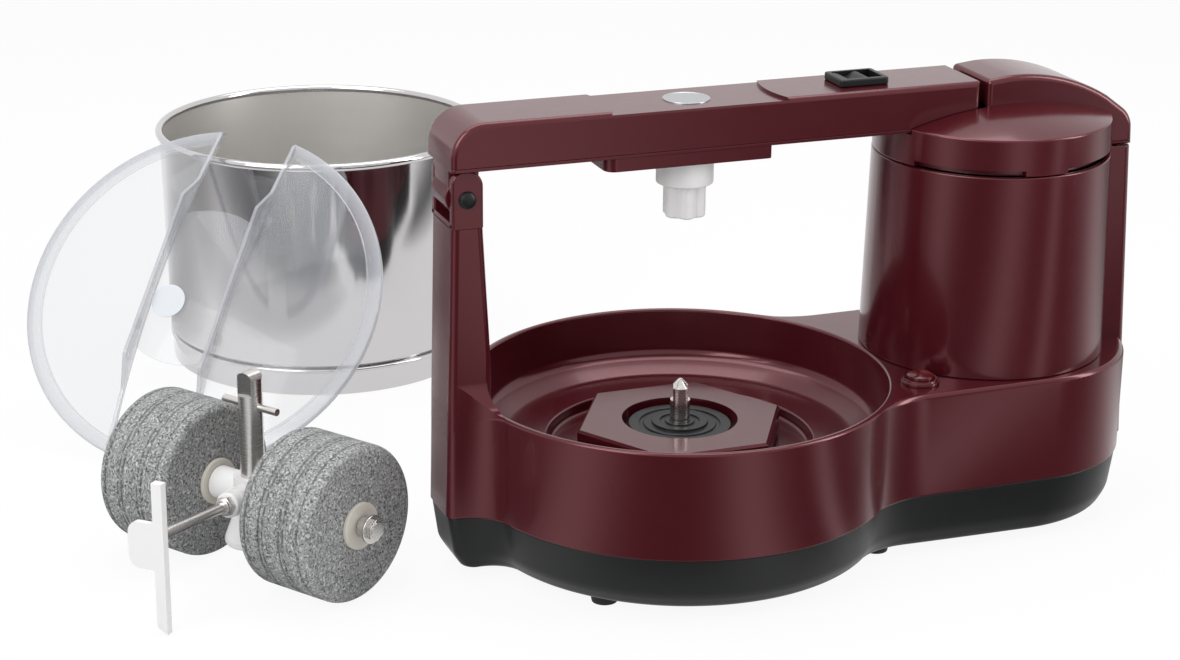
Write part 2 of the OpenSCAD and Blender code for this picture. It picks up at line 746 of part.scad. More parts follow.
module power_button() {
    color([0.55, 0.06, 0.08]) translate([button_x, button_y, 0]) {
        translate([0, 0, rim_z - 4]) cylinder(r = button_r, h = 9);
        translate([0, 0, rim_z + 5]) intersection() {
            translate([0, 0, 2.5 - 14.05]) sphere(r = 14.05);
            cylinder(r = button_r, h = 10);
        }
        translate([0, 0, rim_z - 11 + button_travel]) cylinder(r = 3, h = 8);
    }
}

// side view of the arm with its rounded hinge end
module arm_side(x0, x1, z0, z1, r) {
    translate([x0 + r, z0]) square([x1 - x0 - r, z1 - z0]);
    translate([x0, z0]) square([r, z1 - r - z0]);
    translate([x0 + r, z1 - r]) intersection() {
        circle(r = r);
        translate([-r, -r]) square([r, 2 * r]);
    }
}
// end view of the arm with its two rounded top edges
module arm_end(w, z0, z1, r) {
    translate([-w / 2 + r, z0]) square([w - 2 * r, z1 - z0]);
    translate([-w / 2, z0]) square([w, z1 - r - z0]);
    for (s = [-1, 1]) translate([s * (w / 2 - r), z1 - r]) circle(r = r);
}
module arm_block(x0, x1, z1, e) {
    intersection() {
        across(arm_w) arm_side(x0, x1, arm_seam, z1, 19);
        along(x0, x1) arm_end(arm_w, arm_seam, z1, e);
    }
}
arm_screw_at = [[-100, 16], [-100, -16], [70, 16], [70, -16]];
module arm_upper_cover() {
    color(burgundy) difference() {
        union() {
            difference() {
                union() {
                    arm_block(arm_x0, arm_x1, arm_top, 3);
                    intersection() {
                        arm_block(arm_x0, arm_x1, pad_top, 3);
                        difference() {
                            translate([-400, -100, 0]) cube([800, 200, 400]);
                            translate([-pad_x, -100, 0]) cube([2 * pad_x, 200, 400]);
                        }
                    }
                }
                translate([0, 0, -0.01]) across(arm_w - 2 * cover_t)
                    arm_side(arm_x0 + cover_t, arm_x1 - cover_t, arm_seam, arm_top - cover_t, 16);
            }
            for (p = arm_screw_at) translate([p[0], p[1], arm_seam]) cylinder(r = 4, h = arm_h - 6);
        }
        for (p = arm_screw_at) translate([p[0], p[1], arm_seam - 1]) cylinder(r = 1.6, h = 11);
        translate([latch_x - 4, -4 - free_gap, arm_top - 10])
            cube([8 + latch_travel + 2 * free_gap, 8 + 2 * free_gap, 20]);
        translate([arm_x1 - 5, -bolt_w / 2 - free_gap, bolt_z - bolt_h / 2 - free_gap])
            cube([10, bolt_w + 2 * free_gap, bolt_h + 2 * free_gap]);
        translate([0, 0, arm_top - 0.6]) cylinder(r = 14, h = 5);
    }
}
module arm_lower_cover() {
    color(burgundy) difference() {
        union() {
            translate([arm_x0, -arm_w / 2, arm_z]) cube([arm_x1 - arm_x0, arm_w, arm_seam - arm_z]);
            across(knuckle_w) {
                translate([pin_x, pin_z]) circle(r = 11);
                translate([pin_x - 9, pin_z]) square([18, arm_z - pin_z + 1]);
            }
            for (x = [motor_x - 75, motor_x - 38]) translate([x, -9, arm_seam])
                cube([5, 18, bolt_z + bolt_h / 2 + 3 - arm_seam]);
        }
        translate([pin_x, 0, pin_z]) rotate([90, 0, 0]) cylinder(r = pin_r + run_gap, h = 80, center = true);
        for (x = [motor_x - 76, motor_x - 39])
            translate([x, -bolt_w / 2 - free_gap, bolt_z - bolt_h / 2 - free_gap])
                cube([8, bolt_w + 2 * free_gap, bolt_h + 2 * free_gap]);
        for (p = arm_screw_at) translate([p[0], p[1], arm_z - 1]) {
            cylinder(r = 1.6, h = 10);
            cylinder(r = 3.4, h = 2.8);
        }
    }
}
module arm_screws() {
    color(zinc) for (p = arm_screw_at) translate([p[0], p[1], arm_z]) {
        difference() {
            cylinder(r = 3.2, h = 1.8);
            cube([1, 8, 1.2], center = true);
        }
        cylinder(r = 1.6, h = 14);
    }
}
module coupling_housing() {
    color(burgundy) difference() {
        across(arm_w) polygon([[box_x0 - 8, arm_z], [box_x0, box_low], [box_x1, box_low], [box_x1, arm_z]]);
        translate([box_x0 + 3, -arm_w / 2 + 3, box_low + 3]) cube([box_x1 - box_x0 - 6, arm_w - 6, 20]);
        translate([0, 0, box_low - 1]) cylinder(r = couple_r, h = 6);
    }
}
module shaft_coupling() {
    color(nylon) difference() {
        union() {
            translate([0, 0, lobe_z]) cylinder(r = couple_r, h = box_low + 3 - lobe_z);
            translate([0, 0, box_low + 3]) cylinder(r = couple_r + 3, h = arm_z - box_low - 3);
            difference() {
                translate([0, 0, couple_low]) cylinder(r = lobe_r, h = lobe_z - couple_low);
                for (a = [20, 110]) rotate(a) translate([0, 0, couple_low])
                    cube([60, 7, 2 * (lobe_z - couple_low) - 4], center = true);
            }
        }
        translate([0, 0, couple_low - 1]) cylinder(r = socket_r, h = box_low - couple_low);
    }
}
module badge_disc() { color(steel) translate([0, 0, arm_top - 0.6]) cylinder(r = 14, h = 1.2); }

module latch_bezel() {
    color(charcoal) translate([latch_x, 0, pad_top]) difference() {
        translate([-slide_l / 2 - free_gap - 4, -17, 0]) cube([frame_l, 34, 2]);
        translate([-slide_l / 2 - free_gap, -13, -1]) cube([frame_l - 8, 26, 5]);
    }
}
module latch_slider() {
    color(charcoal) {
        translate([latch_x, 0, pad_top + 0.4]) difference() {
            translate([-slide_l / 2, -12.5, 0]) cube([slide_l, 25, 4.6]);
            translate([0, 0, 13.5]) rotate([90, 0, 0]) cylinder(r = 11, h = 20, center = true);
        }
        translate([latch_x - 4 + free_gap, -4, bolt_z + bolt_h / 2])
            cube([8 - free_gap, 8, pad_top + 0.4 - bolt_z - bolt_h / 2]);
    }
}
module latch_bolt() {
    color(zinc) translate([latch_x - 8, -bolt_w / 2, bolt_z - bolt_h / 2])
        cube([arm_x1 - 0.5 - latch_x + 8, bolt_w, bolt_h]);
}

// drum on the table
module drum_shell() {
    color(steel) at_drum() rotate_extrude() {
        polygon([[spindle_r + free_gap, socket_z], [foot_r - 1.3, socket_z], [foot_r - 1.3, ring_h],
            [foot_r + 1.2, ring_h + 3], [drum_r, drum_h - bead_r], [drum_r - wall_t, drum_h - bead_r],
            [foot_r + 1.2 - wall_t, ring_h + 3.5], [foot_r - 1.3 - wall_t, ring_h + 0.5],
            [foot_r - 1.3 - wall_t, socket_z + wall_t],
            [spindle_r + free_gap, socket_z + wall_t]]);
        translate([drum_r, drum_h - bead_r]) circle(r = bead_r);
    }
}
module drum_base_ring() {
    color(steel) at_drum() rotate_extrude() {
        translate([foot_r - 1.3, 0]) square([1.3, ring_h]);
        translate([foot_r + 0.1, ring_h - 1.4]) circle(r = 1.4);
    }
}
module drum_socket_plate() {
    color([0.30, 0.31, 0.33]) at_drum() difference() {
        translate([0, 0, 0.6]) cylinder(r = foot_r - 1.3, h = socket_z - 0.6);
        translate([0, 0, -1]) cylinder(r = hex_r + 0.6, h = socket_z + 2, $fn = 6);
    }
}
module granite_bed() {
    color(granite) at_drum() difference() {
        translate([0, 0, bed_low]) cylinder(r = foot_r - 2.5, h = bed_t);
        translate([0, 0, bed_low - 1]) cylinder(r = spindle_r + 5, h = bed_t + 2);
    }
}
module centre_tube() {
    color(nylon) at_drum() difference() {
        union() {
            translate([0, 0, bed_low]) cylinder(r = spindle_r + 5, h = bed_t);
            translate([0, 0, bed_top]) cylinder(r1 = spindle_r + 5, r2 = spindle_r + 3, h = 22);
        }
        translate([0, 0, bed_low - 1]) cylinder(r = spindle_r + free_gap, h = bed_t + 20);
    }
}

// domed lid with a channel for the arm, turned a little as it leans
module lid_channel(z0, z1) {
    for (s = [-1, 1]) difference() {
        translate([-slot_w / 2, s > 0 ? 0 : -lid_r - 5, z0]) cube([slot_w, lid_r + 5, z1 - z0]);
        translate([0, 0, z0 - 1]) cylinder(r = window_r, h = z1 - z0 + 2);
    }
}
module lid_dish(t) { translate([0, 0, dish_z]) sphere(r = dish_r - t, $fn = 160); }
module flange_side() {
    top = lid_rise + flange_h;
    polygon([[-lid_r, -lid_t], [lid_r, -lid_t], [lid_r, 1], [window_r + 22, lid_rise - 8],
        [window_r + 3, top], [-window_r - 3, top], [-window_r - 22, lid_rise - 8], [-lid_r, 1]]);
}
module lid_panel() {
    color([0.86, 0.89, 0.91, 0.35]) at_lid() rotate(lid_slew) {
        difference() {
            union() {
                intersection() {
                    lid_dish(0);
                    translate([0, 0, -lid_t]) cylinder(r = lid_r - 1, h = 2 * lid_rise);
                }
                ring(lid_r, lid_r - lid_brim - 2, -lid_t, 0);
                ring(lid_r, lid_r - skirt_t, -skirt_h, -lid_t);
            }
            intersection() {
                lid_dish(lid_t);
                cylinder(r = lid_r - lid_brim, h = 3 * lid_rise, center = true);
            }
            lid_channel(-skirt_h - 1, lid_rise + 1);
        }
        difference() {
            intersection() {
                translate([0, 0, -lid_t]) cylinder(r = lid_r - 2, h = 3 * lid_rise);
                for (s = [-1, 1]) translate([s * (slot_w + flange_t) / 2, 0, 0])
                    along(-flange_t / 2, flange_t / 2) flange_side();
            }
            lid_dish(lid_t);
        }
        for (s = [-1, 1]) for (y = [-38, 40])
            translate([s * (slot_w / 2 + flange_t + 1) - 1.5, y, lid_rise - 5]) cube([3, 7, 7]);
    }
}
module lid_disc() {
    color([0.93, 0.94, 0.95]) at_lid() rotate(lid_slew) translate([0, 0, dish_z])
        rotate([asin(15 / dish_r), asin((disc_r + 1 - slot_w / 2) / dish_r), 0])
            translate([0, 0, dish_r]) cylinder(r = disc_r, h = 0.4);
}

// roller set on the table
module roller_shaft() {
    color(steel) at_rollers() difference() {
        translate([0, 0, shaft_low]) cylinder(r = shaft_r, h = shaft_top - shaft_low);
        for (s = [-1, 1]) translate([0, s * (shaft_r + 2.6), shaft_top]) cube([40, 10, 28], center = true);
        translate([0, 0, shaft_top - pin_drop]) rotate([0, 90, 0])
            cylinder(r = cross_r, h = 40, center = true);
        translate([0, 0, shaft_top]) rotate([90, 0, 0]) difference() {
            cube([40, 2 * shaft_r, 40], center = true);
            translate([0, -shaft_r, 0]) cylinder(r = shaft_r, h = 50, center = true);
        }
    }
}
module cross_pin() {
    color(steel) at_rollers() translate([0, 0, shaft_top - pin_drop]) rotate([0, 90, 0])
        cylinder(r = cross_r, h = cross_l, center = true);
}
module roller_hub() {
    color(nylon) at_rollers() difference() {
        union() {
            at_axle() cylinder(r = hub_r, h = 2 * hub_half, center = true);
            translate([0, 0, stone_r - 14]) cylinder(r = shaft_r + 4.5, h = shaft_low + 4 - stone_r + 14);
            translate([0, 0, stone_r - 27]) cylinder(r1 = 17, r2 = shaft_r + 4.5, h = 13);
            at_rod() cylinder(r = 8, h = boss_l);
        }
        at_axle() cylinder(r = axle_r, h = 80, center = true);
        translate([0, 0, shaft_low]) cylinder(r = shaft_r, h = 40);
        translate([0, 0, stone_r - 28]) cylinder(r = spindle_r + 3.6, h = 13);
        at_rod() translate([0, 0, rod_start]) cylinder(r = rod_r, h = boss_l);
    }
}
module stone_axle() {
    color(steel) at_rollers() at_axle() cylinder(r = axle_r, h = 2 * (stone_out + 14), center = true);
}
module axle_washers() {
    color(zinc) at_rollers() for (s = [-1, 1]) translate([s * (stone_out + collar_t + free_gap + 0.75), 0, 0])
        at_axle() difference() {
            cylinder(r = axle_r + 4, h = 1.5, center = true);
            cylinder(r = axle_r, h = 4, center = true);
        }
}
module axle_nuts() {
    color(zinc) at_rollers() for (s = [-1, 1])
        translate([s * (stone_out + collar_t + free_gap + 1.5 + 2.5), 0, 0])
        at_axle() difference() {
            cylinder(r = axle_r + 4.2, h = 5, center = true, $fn = 6);
            cylinder(r = axle_r, h = 8, center = true);
        }
}
module scraper_rod() {
    color(steel) at_rollers() at_rod() translate([0, 0, rod_start]) cylinder(r = rod_r, h = rod_l);
}
module scraper_nut() {
    color(zinc) at_rollers() at_rod() translate([0, 0, boss_l]) difference() {
        cylinder(r = rod_r + 3.6, h = 5, $fn = 6);
        translate([0, 0, -1]) cylinder(r = rod_r, h = 8);
    }
}
// blade seen from its outer side, with its cut tip and its rounded tongue
module blade_outline() {
    polygon([[-blade_w / 2, 4], [blade_w / 2, 0], [blade_w / 2, blade_h], [-blade_w / 2, blade_h]]);
}
module tongue_outline() {
    e = 7;
    translate([-tongue_w - blade_w / 2, tongue_z]) {
        translate([e, 0]) square([tongue_w + 1 - e, tongue_h]);
        translate([0, e]) square([e, tongue_h - 2 * e]);
        for (z = [e, tongue_h - e]) translate([e, z]) circle(r = e);
    }
}
module scraper_blade() {
    color(nylon) at_rollers() difference() {
        rotate(rod_turn) translate([0, -blade_y, 0]) {
            across(blade_d) blade_outline();
            across(blade_d - 1.5) tongue_outline();
        }
        at_rod() translate([0, 0, rod_start]) cylinder(r = rod_r, h = rod_l);
    }
}
module stone() {
    e = 9;
    at_axle() translate([0, 0, stone_in]) rotate_extrude() difference() {
        union() {
            translate([bush_r, 0]) square([stone_r - e - bush_r, stone_w]);
            translate([bush_r, e]) square([stone_r - bush_r, stone_w - 2 * e]);
            for (y = [e, stone_w - e]) translate([stone_r - e, y]) circle(r = e);
        }
        for (y = [stone_w / 2 - 9, stone_w / 2 - 6, stone_w / 2 + 6, stone_w / 2 + 9])
            translate([stone_r - 0.6, y - 0.5]) square([2, 1]);
    }
}
module bush() {
    at_axle() difference() {
        union() {
            translate([0, 0, stone_in]) cylinder(r = bush_r, h = stone_w);
            translate([0, 0, stone_in - collar_t]) cylinder(r = bush_flange_r, h = collar_t);
            translate([0, 0, stone_out]) cylinder(r = bush_flange_r, h = collar_t);
        }
        translate([0, 0, stone_in - 10]) cylinder(r = axle_r + run_gap, h = stone_w + 20);
    }
}
module right_stone() { color(granite) at_rollers() stone(); }
module right_bush() { color(nylon) at_rollers() bush(); }
module left_stone() { color(granite) at_rollers() mirror([1, 0, 0]) stone(); }
module left_bush() { color(nylon) at_rollers() mirror([1, 0, 0]) bush(); }

place() {
    base_pan();
    rubber_feet();
    pan_screws();
    main_housing();
    hinge_bracket();
    hinge_pin();
    tower_shell();
    tower_cap();
    latch_keeper();
    cord_gland();
    button_bezel();
    power_switch();
    motor_plate();
    lower_end_shield();
    upper_end_shield();
    motor_stator();
    stator_windings();
    run_capacitor();
    bearing_housing();
    spindle_bearings();
    drive_belt();
    hex_coupling();
    spindle();
    coupling_cap();
    driven_pulley();
    pulley_nut();
    motor_rotor();
    motor_shaft();
    motor_pulley();
    cooling_fan();
    power_button();
    arm_upper_cover();
    arm_lower_cover();
    coupling_housing();
    shaft_coupling();
    badge_disc();
    arm_screws();
    latch_bezel();
    latch_slider();
    latch_bolt();
    drum_shell();
    drum_base_ring();
    drum_socket_plate();
    granite_bed();
    centre_tube();
    lid_panel();
    lid_disc();
    roller_shaft();
    cross_pin();
    roller_hub();
    stone_axle();
    axle_washers();
    axle_nuts();
    scraper_rod();
    scraper_nut();
    scraper_blade();
    left_stone();
    left_bush();
    right_stone();
    right_bush();
}
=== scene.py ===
"""Looks of a table-top wet grinder, with its drum, lid and roller set laid out beside it."""

import json

import bmesh
import bpy
import numpy as np
from mathutils import Matrix, Vector


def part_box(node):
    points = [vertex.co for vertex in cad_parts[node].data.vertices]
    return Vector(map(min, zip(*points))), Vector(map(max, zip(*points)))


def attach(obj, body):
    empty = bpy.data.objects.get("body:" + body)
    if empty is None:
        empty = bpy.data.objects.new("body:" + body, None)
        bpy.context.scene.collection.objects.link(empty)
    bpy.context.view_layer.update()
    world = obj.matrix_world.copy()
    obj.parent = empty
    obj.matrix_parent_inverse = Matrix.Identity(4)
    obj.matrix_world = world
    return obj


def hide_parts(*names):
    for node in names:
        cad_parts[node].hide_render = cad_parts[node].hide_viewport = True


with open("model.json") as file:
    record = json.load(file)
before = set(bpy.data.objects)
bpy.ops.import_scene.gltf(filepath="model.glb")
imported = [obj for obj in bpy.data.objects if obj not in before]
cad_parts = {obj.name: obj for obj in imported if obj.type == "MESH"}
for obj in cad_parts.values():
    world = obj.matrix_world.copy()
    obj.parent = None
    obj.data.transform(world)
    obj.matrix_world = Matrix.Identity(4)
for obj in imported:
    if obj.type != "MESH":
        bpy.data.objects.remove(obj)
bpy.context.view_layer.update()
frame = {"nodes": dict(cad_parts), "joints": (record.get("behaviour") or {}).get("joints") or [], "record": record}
SCENE = bpy.context.scene
MM = 0.001


# Places and sizes from the frame, in millimetres
def span(node):
    """Lowest and highest corner of a CAD node in the row frame."""
    low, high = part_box(node)
    return np.array(low) / MM, np.array(high) / MM


def middle(node):
    """Middle of a CAD node's box in the row frame."""
    return sum(span(node)) / 2


def joint_at(name):
    """Place of a joint in the row frame, and its axis."""
    joint = next(joint for joint in frame["joints"] if joint["name"] == name)
    return np.array(joint["pos_m"]) / MM, np.array(joint["axis"], float)


def corners_of(node):
    """Lowest and highest corner of a CAD node from the spindle's axis."""
    return [corner - AXIS for corner in span(node)]


SLOTS = {part["node"]: part["material_slot"] for part in frame["record"]["subparts"]}
BODIES = {node: body for body, nodes in frame["record"]["behaviour"]["bodies"].items() for node in nodes}
AXIS = middle("spindle") * [1, 1, 0]
MOTOR_X = (middle("motor_shaft") - AXIS)[0]
FOOT_H, PAN_Z = (corner[2] for corner in span("base_pan"))
RIM_Z = span("motor_plate")[0][2]
POST_X, BASE_R = -corners_of("main_housing")[0][:2]
POST_W = np.ptp([corner[1] for corner in span("hinge_bracket")])
HALF_POST = POST_W / 2
TOWER_R = -corners_of("tower_shell")[0][1]
ROLLERS, AXLE = joint_at("left_stone_spin")
ROLLERS = ROLLERS - AXIS


# Shader trees written as plain arithmetic
class Number:
    """A number in a shader tree, with operators that add Math nodes."""

    def __init__(self, tree, socket):
        self.tree = tree
        self.socket = socket

    def math(self, operation, other):
        """A Math node of that operation on this number and another one or a plain value."""
        node = self.tree.nodes.new("ShaderNodeMath")
        node.operation = operation
        self.tree.links.new(self.socket, node.inputs[0])
        if isinstance(other, Number):
            self.tree.links.new(other.socket, node.inputs[1])
        else:
            node.inputs[1].default_value = other
        return Number(self.tree, node.outputs[0])

    def __add__(self, other):
        return self.math("ADD", other)

    def __sub__(self, other):
        return self.math("SUBTRACT", other)

    def __mul__(self, other):
        return self.math("MULTIPLY", other)

    def __truediv__(self, other):
        return self.math("DIVIDE", other)

    __radd__ = __add__
    __rmul__ = __mul__

    def above(self, level, width):
        """0 below the level and 1 above it, rising straight over the width."""
        share = (self - level) / width + 0.5
        return share.math("MAXIMUM", 0.0).math("MINIMUM", 1.0)


class Finish:
    """A material with a Principled shader and helpers for its tree."""

    def __init__(self, name, tone, roughness, metallic=0.0, **constants):
        self.material = bpy.data.materials.new(name)
        self.material.use_nodes = True
        self.tree = self.material.node_tree
        self.shader = self.tree.nodes["Principled BSDF"]
        self.set("Base Color", (*tone, 1.0))
        self.set("Roughness", roughness)
        self.set("Metallic", metallic)
        for socket, value in constants.items():
            self.set(socket.replace("_", " "), value)
        self.place = self.node("TexCoord", out="Object")

    def put(self, socket, value):
        """A link into a socket, or its plain value."""
        if isinstance(value, Number):
            value = value.socket
        if isinstance(value, bpy.types.NodeSocket):
            self.tree.links.new(value, socket)
        else:
            socket.default_value = value

    def set(self, socket, value):
        """A link into one of the shader's sockets, or its plain value."""
        self.put(self.shader.inputs[socket], value)

    def node(self, kind, settings=None, inputs=None, out=0):
        """One output of a new node: its type, its settings, then its sockets."""
        node = self.tree.nodes.new("ShaderNode" + kind)
        for name, value in (settings or {}).items():
            setattr(node, name, value)
        for name, value in (inputs or {}).items():
            self.put(node.inputs[name], value)
        return node.outputs[out]

    def number(self, kind, **details):
        """The same, as a number for arithmetic."""
        return Number(self.tree, self.node(kind, **details))

    def marked(self):
        """The mark that a form keeps with its points."""
        return self.number("Attribute", settings={"attribute_name": "edge"}, out="Fac")

    def scaled(self, x, y, z):
        """Object coordinates stretched by three factors."""
        return self.node("VectorMath", {"operation": "MULTIPLY"}, {0: self.place, 1: (x, y, z)})

    def noise(self, scale, detail=2.0, place=None):
        """Fractal noise over the object, from 0 to 1."""
        sockets = {"Vector": place or self.place, "Scale": scale, "Detail": detail}
        return self.number("TexNoise", inputs=sockets)

    def tint(self, ground, share, *tone):
        """A share of a colour, given in display values, over the colour of the ground."""
        inputs = {0: share, 6: ground, 7: (*colour(*tone), 1)}
        return self.node("Mix", {"data_type": "RGBA"}, inputs, 2)

    def bump(self, height, distance, strength):
        """Fine relief from a height, with its depth in metres."""
        inputs = {"Height": height, "Distance": distance, "Strength": strength}
        self.set("Normal", self.node("Bump", inputs=inputs))

    def blend(self, share, first, second):
        """A share of the second shader over the first as what the material shows."""
        shown = self.node("MixShader", inputs={0: share, 1: first, 2: second})
        self.tree.links.new(shown, self.tree.nodes["Material Output"].inputs[0])


def direct_rays(tree):
    """1 for rays from the camera, in reflections or through clear pieces, and 0 for other rays."""
    path = tree.nodes.new("ShaderNodeLightPath")
    kinds = ("Is Camera Ray", "Is Glossy Ray", "Is Transmission Ray")
    return sum(Number(tree, path.outputs[kind]) for kind in kinds)


def colour(red, green, blue):
    """Linear colour from display values between 0 and 255."""
    part = np.array([red, green, blue]) / 255
    return tuple(np.where(part > 0.04045, ((part + 0.055) / 1.055) ** 2.4, part / 12.92).tolist())


def glossy_plastic(name, tone, pearl=0.0):
    """Glossy moulded plastic with a faint unevenness and a share of pearl in its colour."""
    finish = Finish(name, tone, 0.2, pearl, Coat_Weight=0.2, Coat_Roughness=0.07)
    finish.set("Roughness", 0.17 + 0.08 * finish.noise(90.0))
    finish.bump(finish.noise(420.0, 3.0), distance=0.00003, strength=0.4)
    return finish


def satin_plastic(name, tone, roughness, gloss=0.5):
    """Satin plastic with a fine moulded grain."""
    finish = Finish(name, tone, roughness, Specular_IOR_Level=gloss)
    finish.set("Roughness", roughness - 0.05 + 0.1 * finish.noise(160.0))
    finish.bump(finish.noise(2600.0), distance=0.00004, strength=0.5)
    return finish


def metal(name, tone, roughness, stretch, relief=0.00001):
    """Metal with fine lines, drawn out along one direction where the stretch is uneven."""
    finish = Finish(name, tone, roughness, 1.0)
    lines = finish.noise(1.0, 3.0, finish.scaled(*stretch))
    finish.set("Roughness", roughness * 0.75 + roughness * 0.5 * lines)
    finish.bump(lines, relief, strength=0.3)
    return finish


def stone(name, axle):
    """Grey granite of fine light and dark grains, darker in rings about the axle, and with painted shade speckled
    dark into the grooves.
    """
    finish = Finish(name, (0.4, 0.4, 0.4), 0.55)
    along = finish.node("VectorMath", {"operation": "DOT_PRODUCT"}, {0: finish.place, 1: axle}, 1)
    rings = {"W": along, "Scale": 260.0, "Detail": 3.0}
    ring = finish.number("TexNoise", settings={"noise_dimensions": "1D"}, inputs=rings)
    dark = finish.noise(640.0, 3.0) + 0.12 * (ring - 0.5)
    black = finish.noise(820.0, 3.0) + 0.1 * (ring - 0.5)
    light_grain = finish.noise(700.0, 2.0, finish.scaled(1.0, 1.1, 0.9))
    ground = finish.tint((*colour(128, 130, 131), 1), finish.noise(60.0, 3.0), 156, 157, 157)
    ground = finish.tint(ground, light_grain.above(0.58, 0.1) * 0.8, 202, 202, 199)
    ground = finish.tint(ground, dark.above(0.56, 0.08) * 0.7, 86, 88, 90)
    ground = finish.tint(ground, black.above(0.59, 0.06) * 0.9, 42, 43, 45)
    groove_shade_speckle = finish.noise(420.0, 3.0).above(0.44, 0.16)
    # Painted shade: dark speckle only where the mark is set, in the grooves
    ground = finish.tint(ground, finish.marked() * groove_shade_speckle * 0.85, 52, 53, 54)
    finish.set("Base Color", ground)
    finish.bump(finish.noise(900.0, 3.0), distance=0.00015, strength=0.5)
    return finish


def clear_sheet(name):
    """Clear plastic: glossy over see-through, more opaque on glancing faces, and with painted edge lines where
    rims and creases are marked more opaque.
    """
    finish = Finish(name, colour(192, 194, 200), 0.06, Specular_IOR_Level=0.7)
    facing = finish.number("LayerWeight", inputs={"Blend": 0.3}, out="Facing")
    # Painted edge lines: the mark raises the opacity along rims, creases and flanges, standing in for the lines
    # that light draws at a clear sheet's edges
    share = 0.13 + 0.5 * facing * facing + 0.5 * finish.marked()
    finish.set("Alpha", share.math("MINIMUM", 0.85))
    return finish


FINISH = {name: make(name, *details) for name, make, *details in (
    ("burgundy", glossy_plastic, colour(82, 20, 29), 0.4),
    ("charcoal", satin_plastic, colour(18, 19, 20), 0.4, 0.3),
    ("rubber", satin_plastic, colour(22, 22, 22), 0.7, 0.35),
    ("red_button", glossy_plastic, colour(76, 10, 15)),
    ("nylon", satin_plastic, colour(224, 223, 223), 0.36),
    ("bush_nylon", satin_plastic, colour(206, 201, 191), 0.42),
    ("polished_steel", metal, colour(203, 201, 202), 0.09, (20, 20, 2500)),
    ("satin_steel", metal, colour(234, 232, 229), 0.34, (30, 30, 1800)),
    ("steel", metal, colour(206, 203, 200), 0.26, (60, 60, 7000), 0.0000001),
    ("zinc", metal, colour(176, 177, 180), 0.3, (400, 400, 400)),
    ("cast_metal", metal, colour(168, 170, 174), 0.45, (500, 500, 500), 0.0001),
    ("core_steel", metal, colour(110, 112, 116), 0.5, (20, 20, 1600), 0.0001),
    ("copper", metal, colour(178, 96, 48), 0.35, (40, 40, 1500), 0.0002),
    ("granite", stone, AXLE.tolist()),
    ("clear", clear_sheet),
    ("blank_label", satin_plastic, colour(205, 209, 214), 0.6),
)}


def dress(part, slot, look=None):
    """Gives a piece the finish of a record slot, or another look within it."""
    part.data.materials.clear()
    part.data.materials.append(FINISH[look or slot].material)


# Building blocks for smooth pieces, in millimetres from the spindle's axis
# Axes of a slab: the outline's two directions, the direction it is drawn out in, and the origin
UPRIGHT = ((1, 0, 0), (0, 0, 1), (0, 1, 0), (0, 0, 0))
LEVEL = ((1, 0, 0), (0, 1, 0), (0, 0, 1), (0, 0, 0))
# Turn in degrees above which an edge stays sharp, and half angle in radians above which a corner is none
SHARP, STRAIGHT = 32, 1.55
# A direction that no axis of a turned form follows
ASKEW = (0.31, 0.95, 0.02)


def unit(vector):
    """The vector at length one."""
    return np.asarray(vector, float) / np.linalg.norm(vector)


def full_turn(steps):
    """Directions all around in equal steps."""
    return np.linspace(0, 2 * np.pi, steps, endpoint=False)


def rectangle(left, right, low, high):
    """Corners of a rectangle in two dimensions."""
    return [(left, low), (right, low), (right, high), (left, high)]


def circle(centre, radius, steps=24):
    """Closed circle in two dimensions."""
    angle = full_turn(steps)
    return np.asarray(centre) + radius * np.column_stack([np.cos(angle), np.sin(angle)])


def at_level(outline, level):
    """A flat outline at a level."""
    return np.column_stack([outline, np.full(len(outline), level)])


def round_plan(angle, reach, level):
    """Points at a distance and level in each direction."""
    return np.stack(np.broadcast_arrays(reach * np.cos(angle), reach * np.sin(angle), level), -1)


def rounded(corners, radii, steps=8, closed=True):
    """Outline through corners in two dimensions, with an arc of its own radius at each corner."""
    corners = np.asarray(corners, float)
    count = len(corners)
    parts = []
    for i, radius in enumerate(np.broadcast_to(radii, count)):
        corner = corners[i]
        back = unit(corners[i - 1] - corner)
        ahead = unit(corners[(i + 1) % count] - corner)
        half = np.arccos(np.clip(back @ ahead, -1, 1)) / 2
        loose_end = not closed and i in (0, count - 1)
        if radius <= 0 or loose_end or half > STRAIGHT:
            parts.append(corner[None])
            continue
        centre = corner + unit(back + ahead) * radius / np.sin(half)
        start = corner + back * radius / np.tan(half) - centre
        turn = np.sign(ahead[0] * back[1] - ahead[1] * back[0])
        angle = np.linspace(0, np.pi - 2 * half, steps + 1)[:, None] * turn
        side = np.array([-start[1], start[0]])
        parts.append(centre + start * np.cos(angle) + side * np.sin(angle))
    return np.vstack(parts)


def inset(corners, radii, depth):
    """Corners and corner radii of a closed outline moved inwards by a depth."""
    corners = np.asarray(corners, float)
    radii = np.broadcast_to(np.asarray(radii, float), len(corners))
    following = np.roll(corners, -1, 0)
    ahead = following - corners
    ahead /= np.linalg.norm(ahead, axis=1)[:, None]
    back = np.roll(ahead, 1, 0)
    turn = np.sign((corners[:, 0] * following[:, 1] - corners[:, 1] * following[:, 0]).sum())
    inward = turn * np.stack([-ahead[:, 1], ahead[:, 0]], 1)
    inward_back = np.roll(inward, 1, 0)
    share = 1 + (inward * inward_back).sum(1)
    moved = corners + (inward + inward_back) * (depth / share)[:, None]
    outer = turn * (back[:, 0] * ahead[:, 1] - back[:, 1] * ahead[:, 0]) > 0
    left = np.where(outer, np.maximum(radii - depth, 0.02), radii + depth)
    return moved, np.where(radii > 0, left, 0)


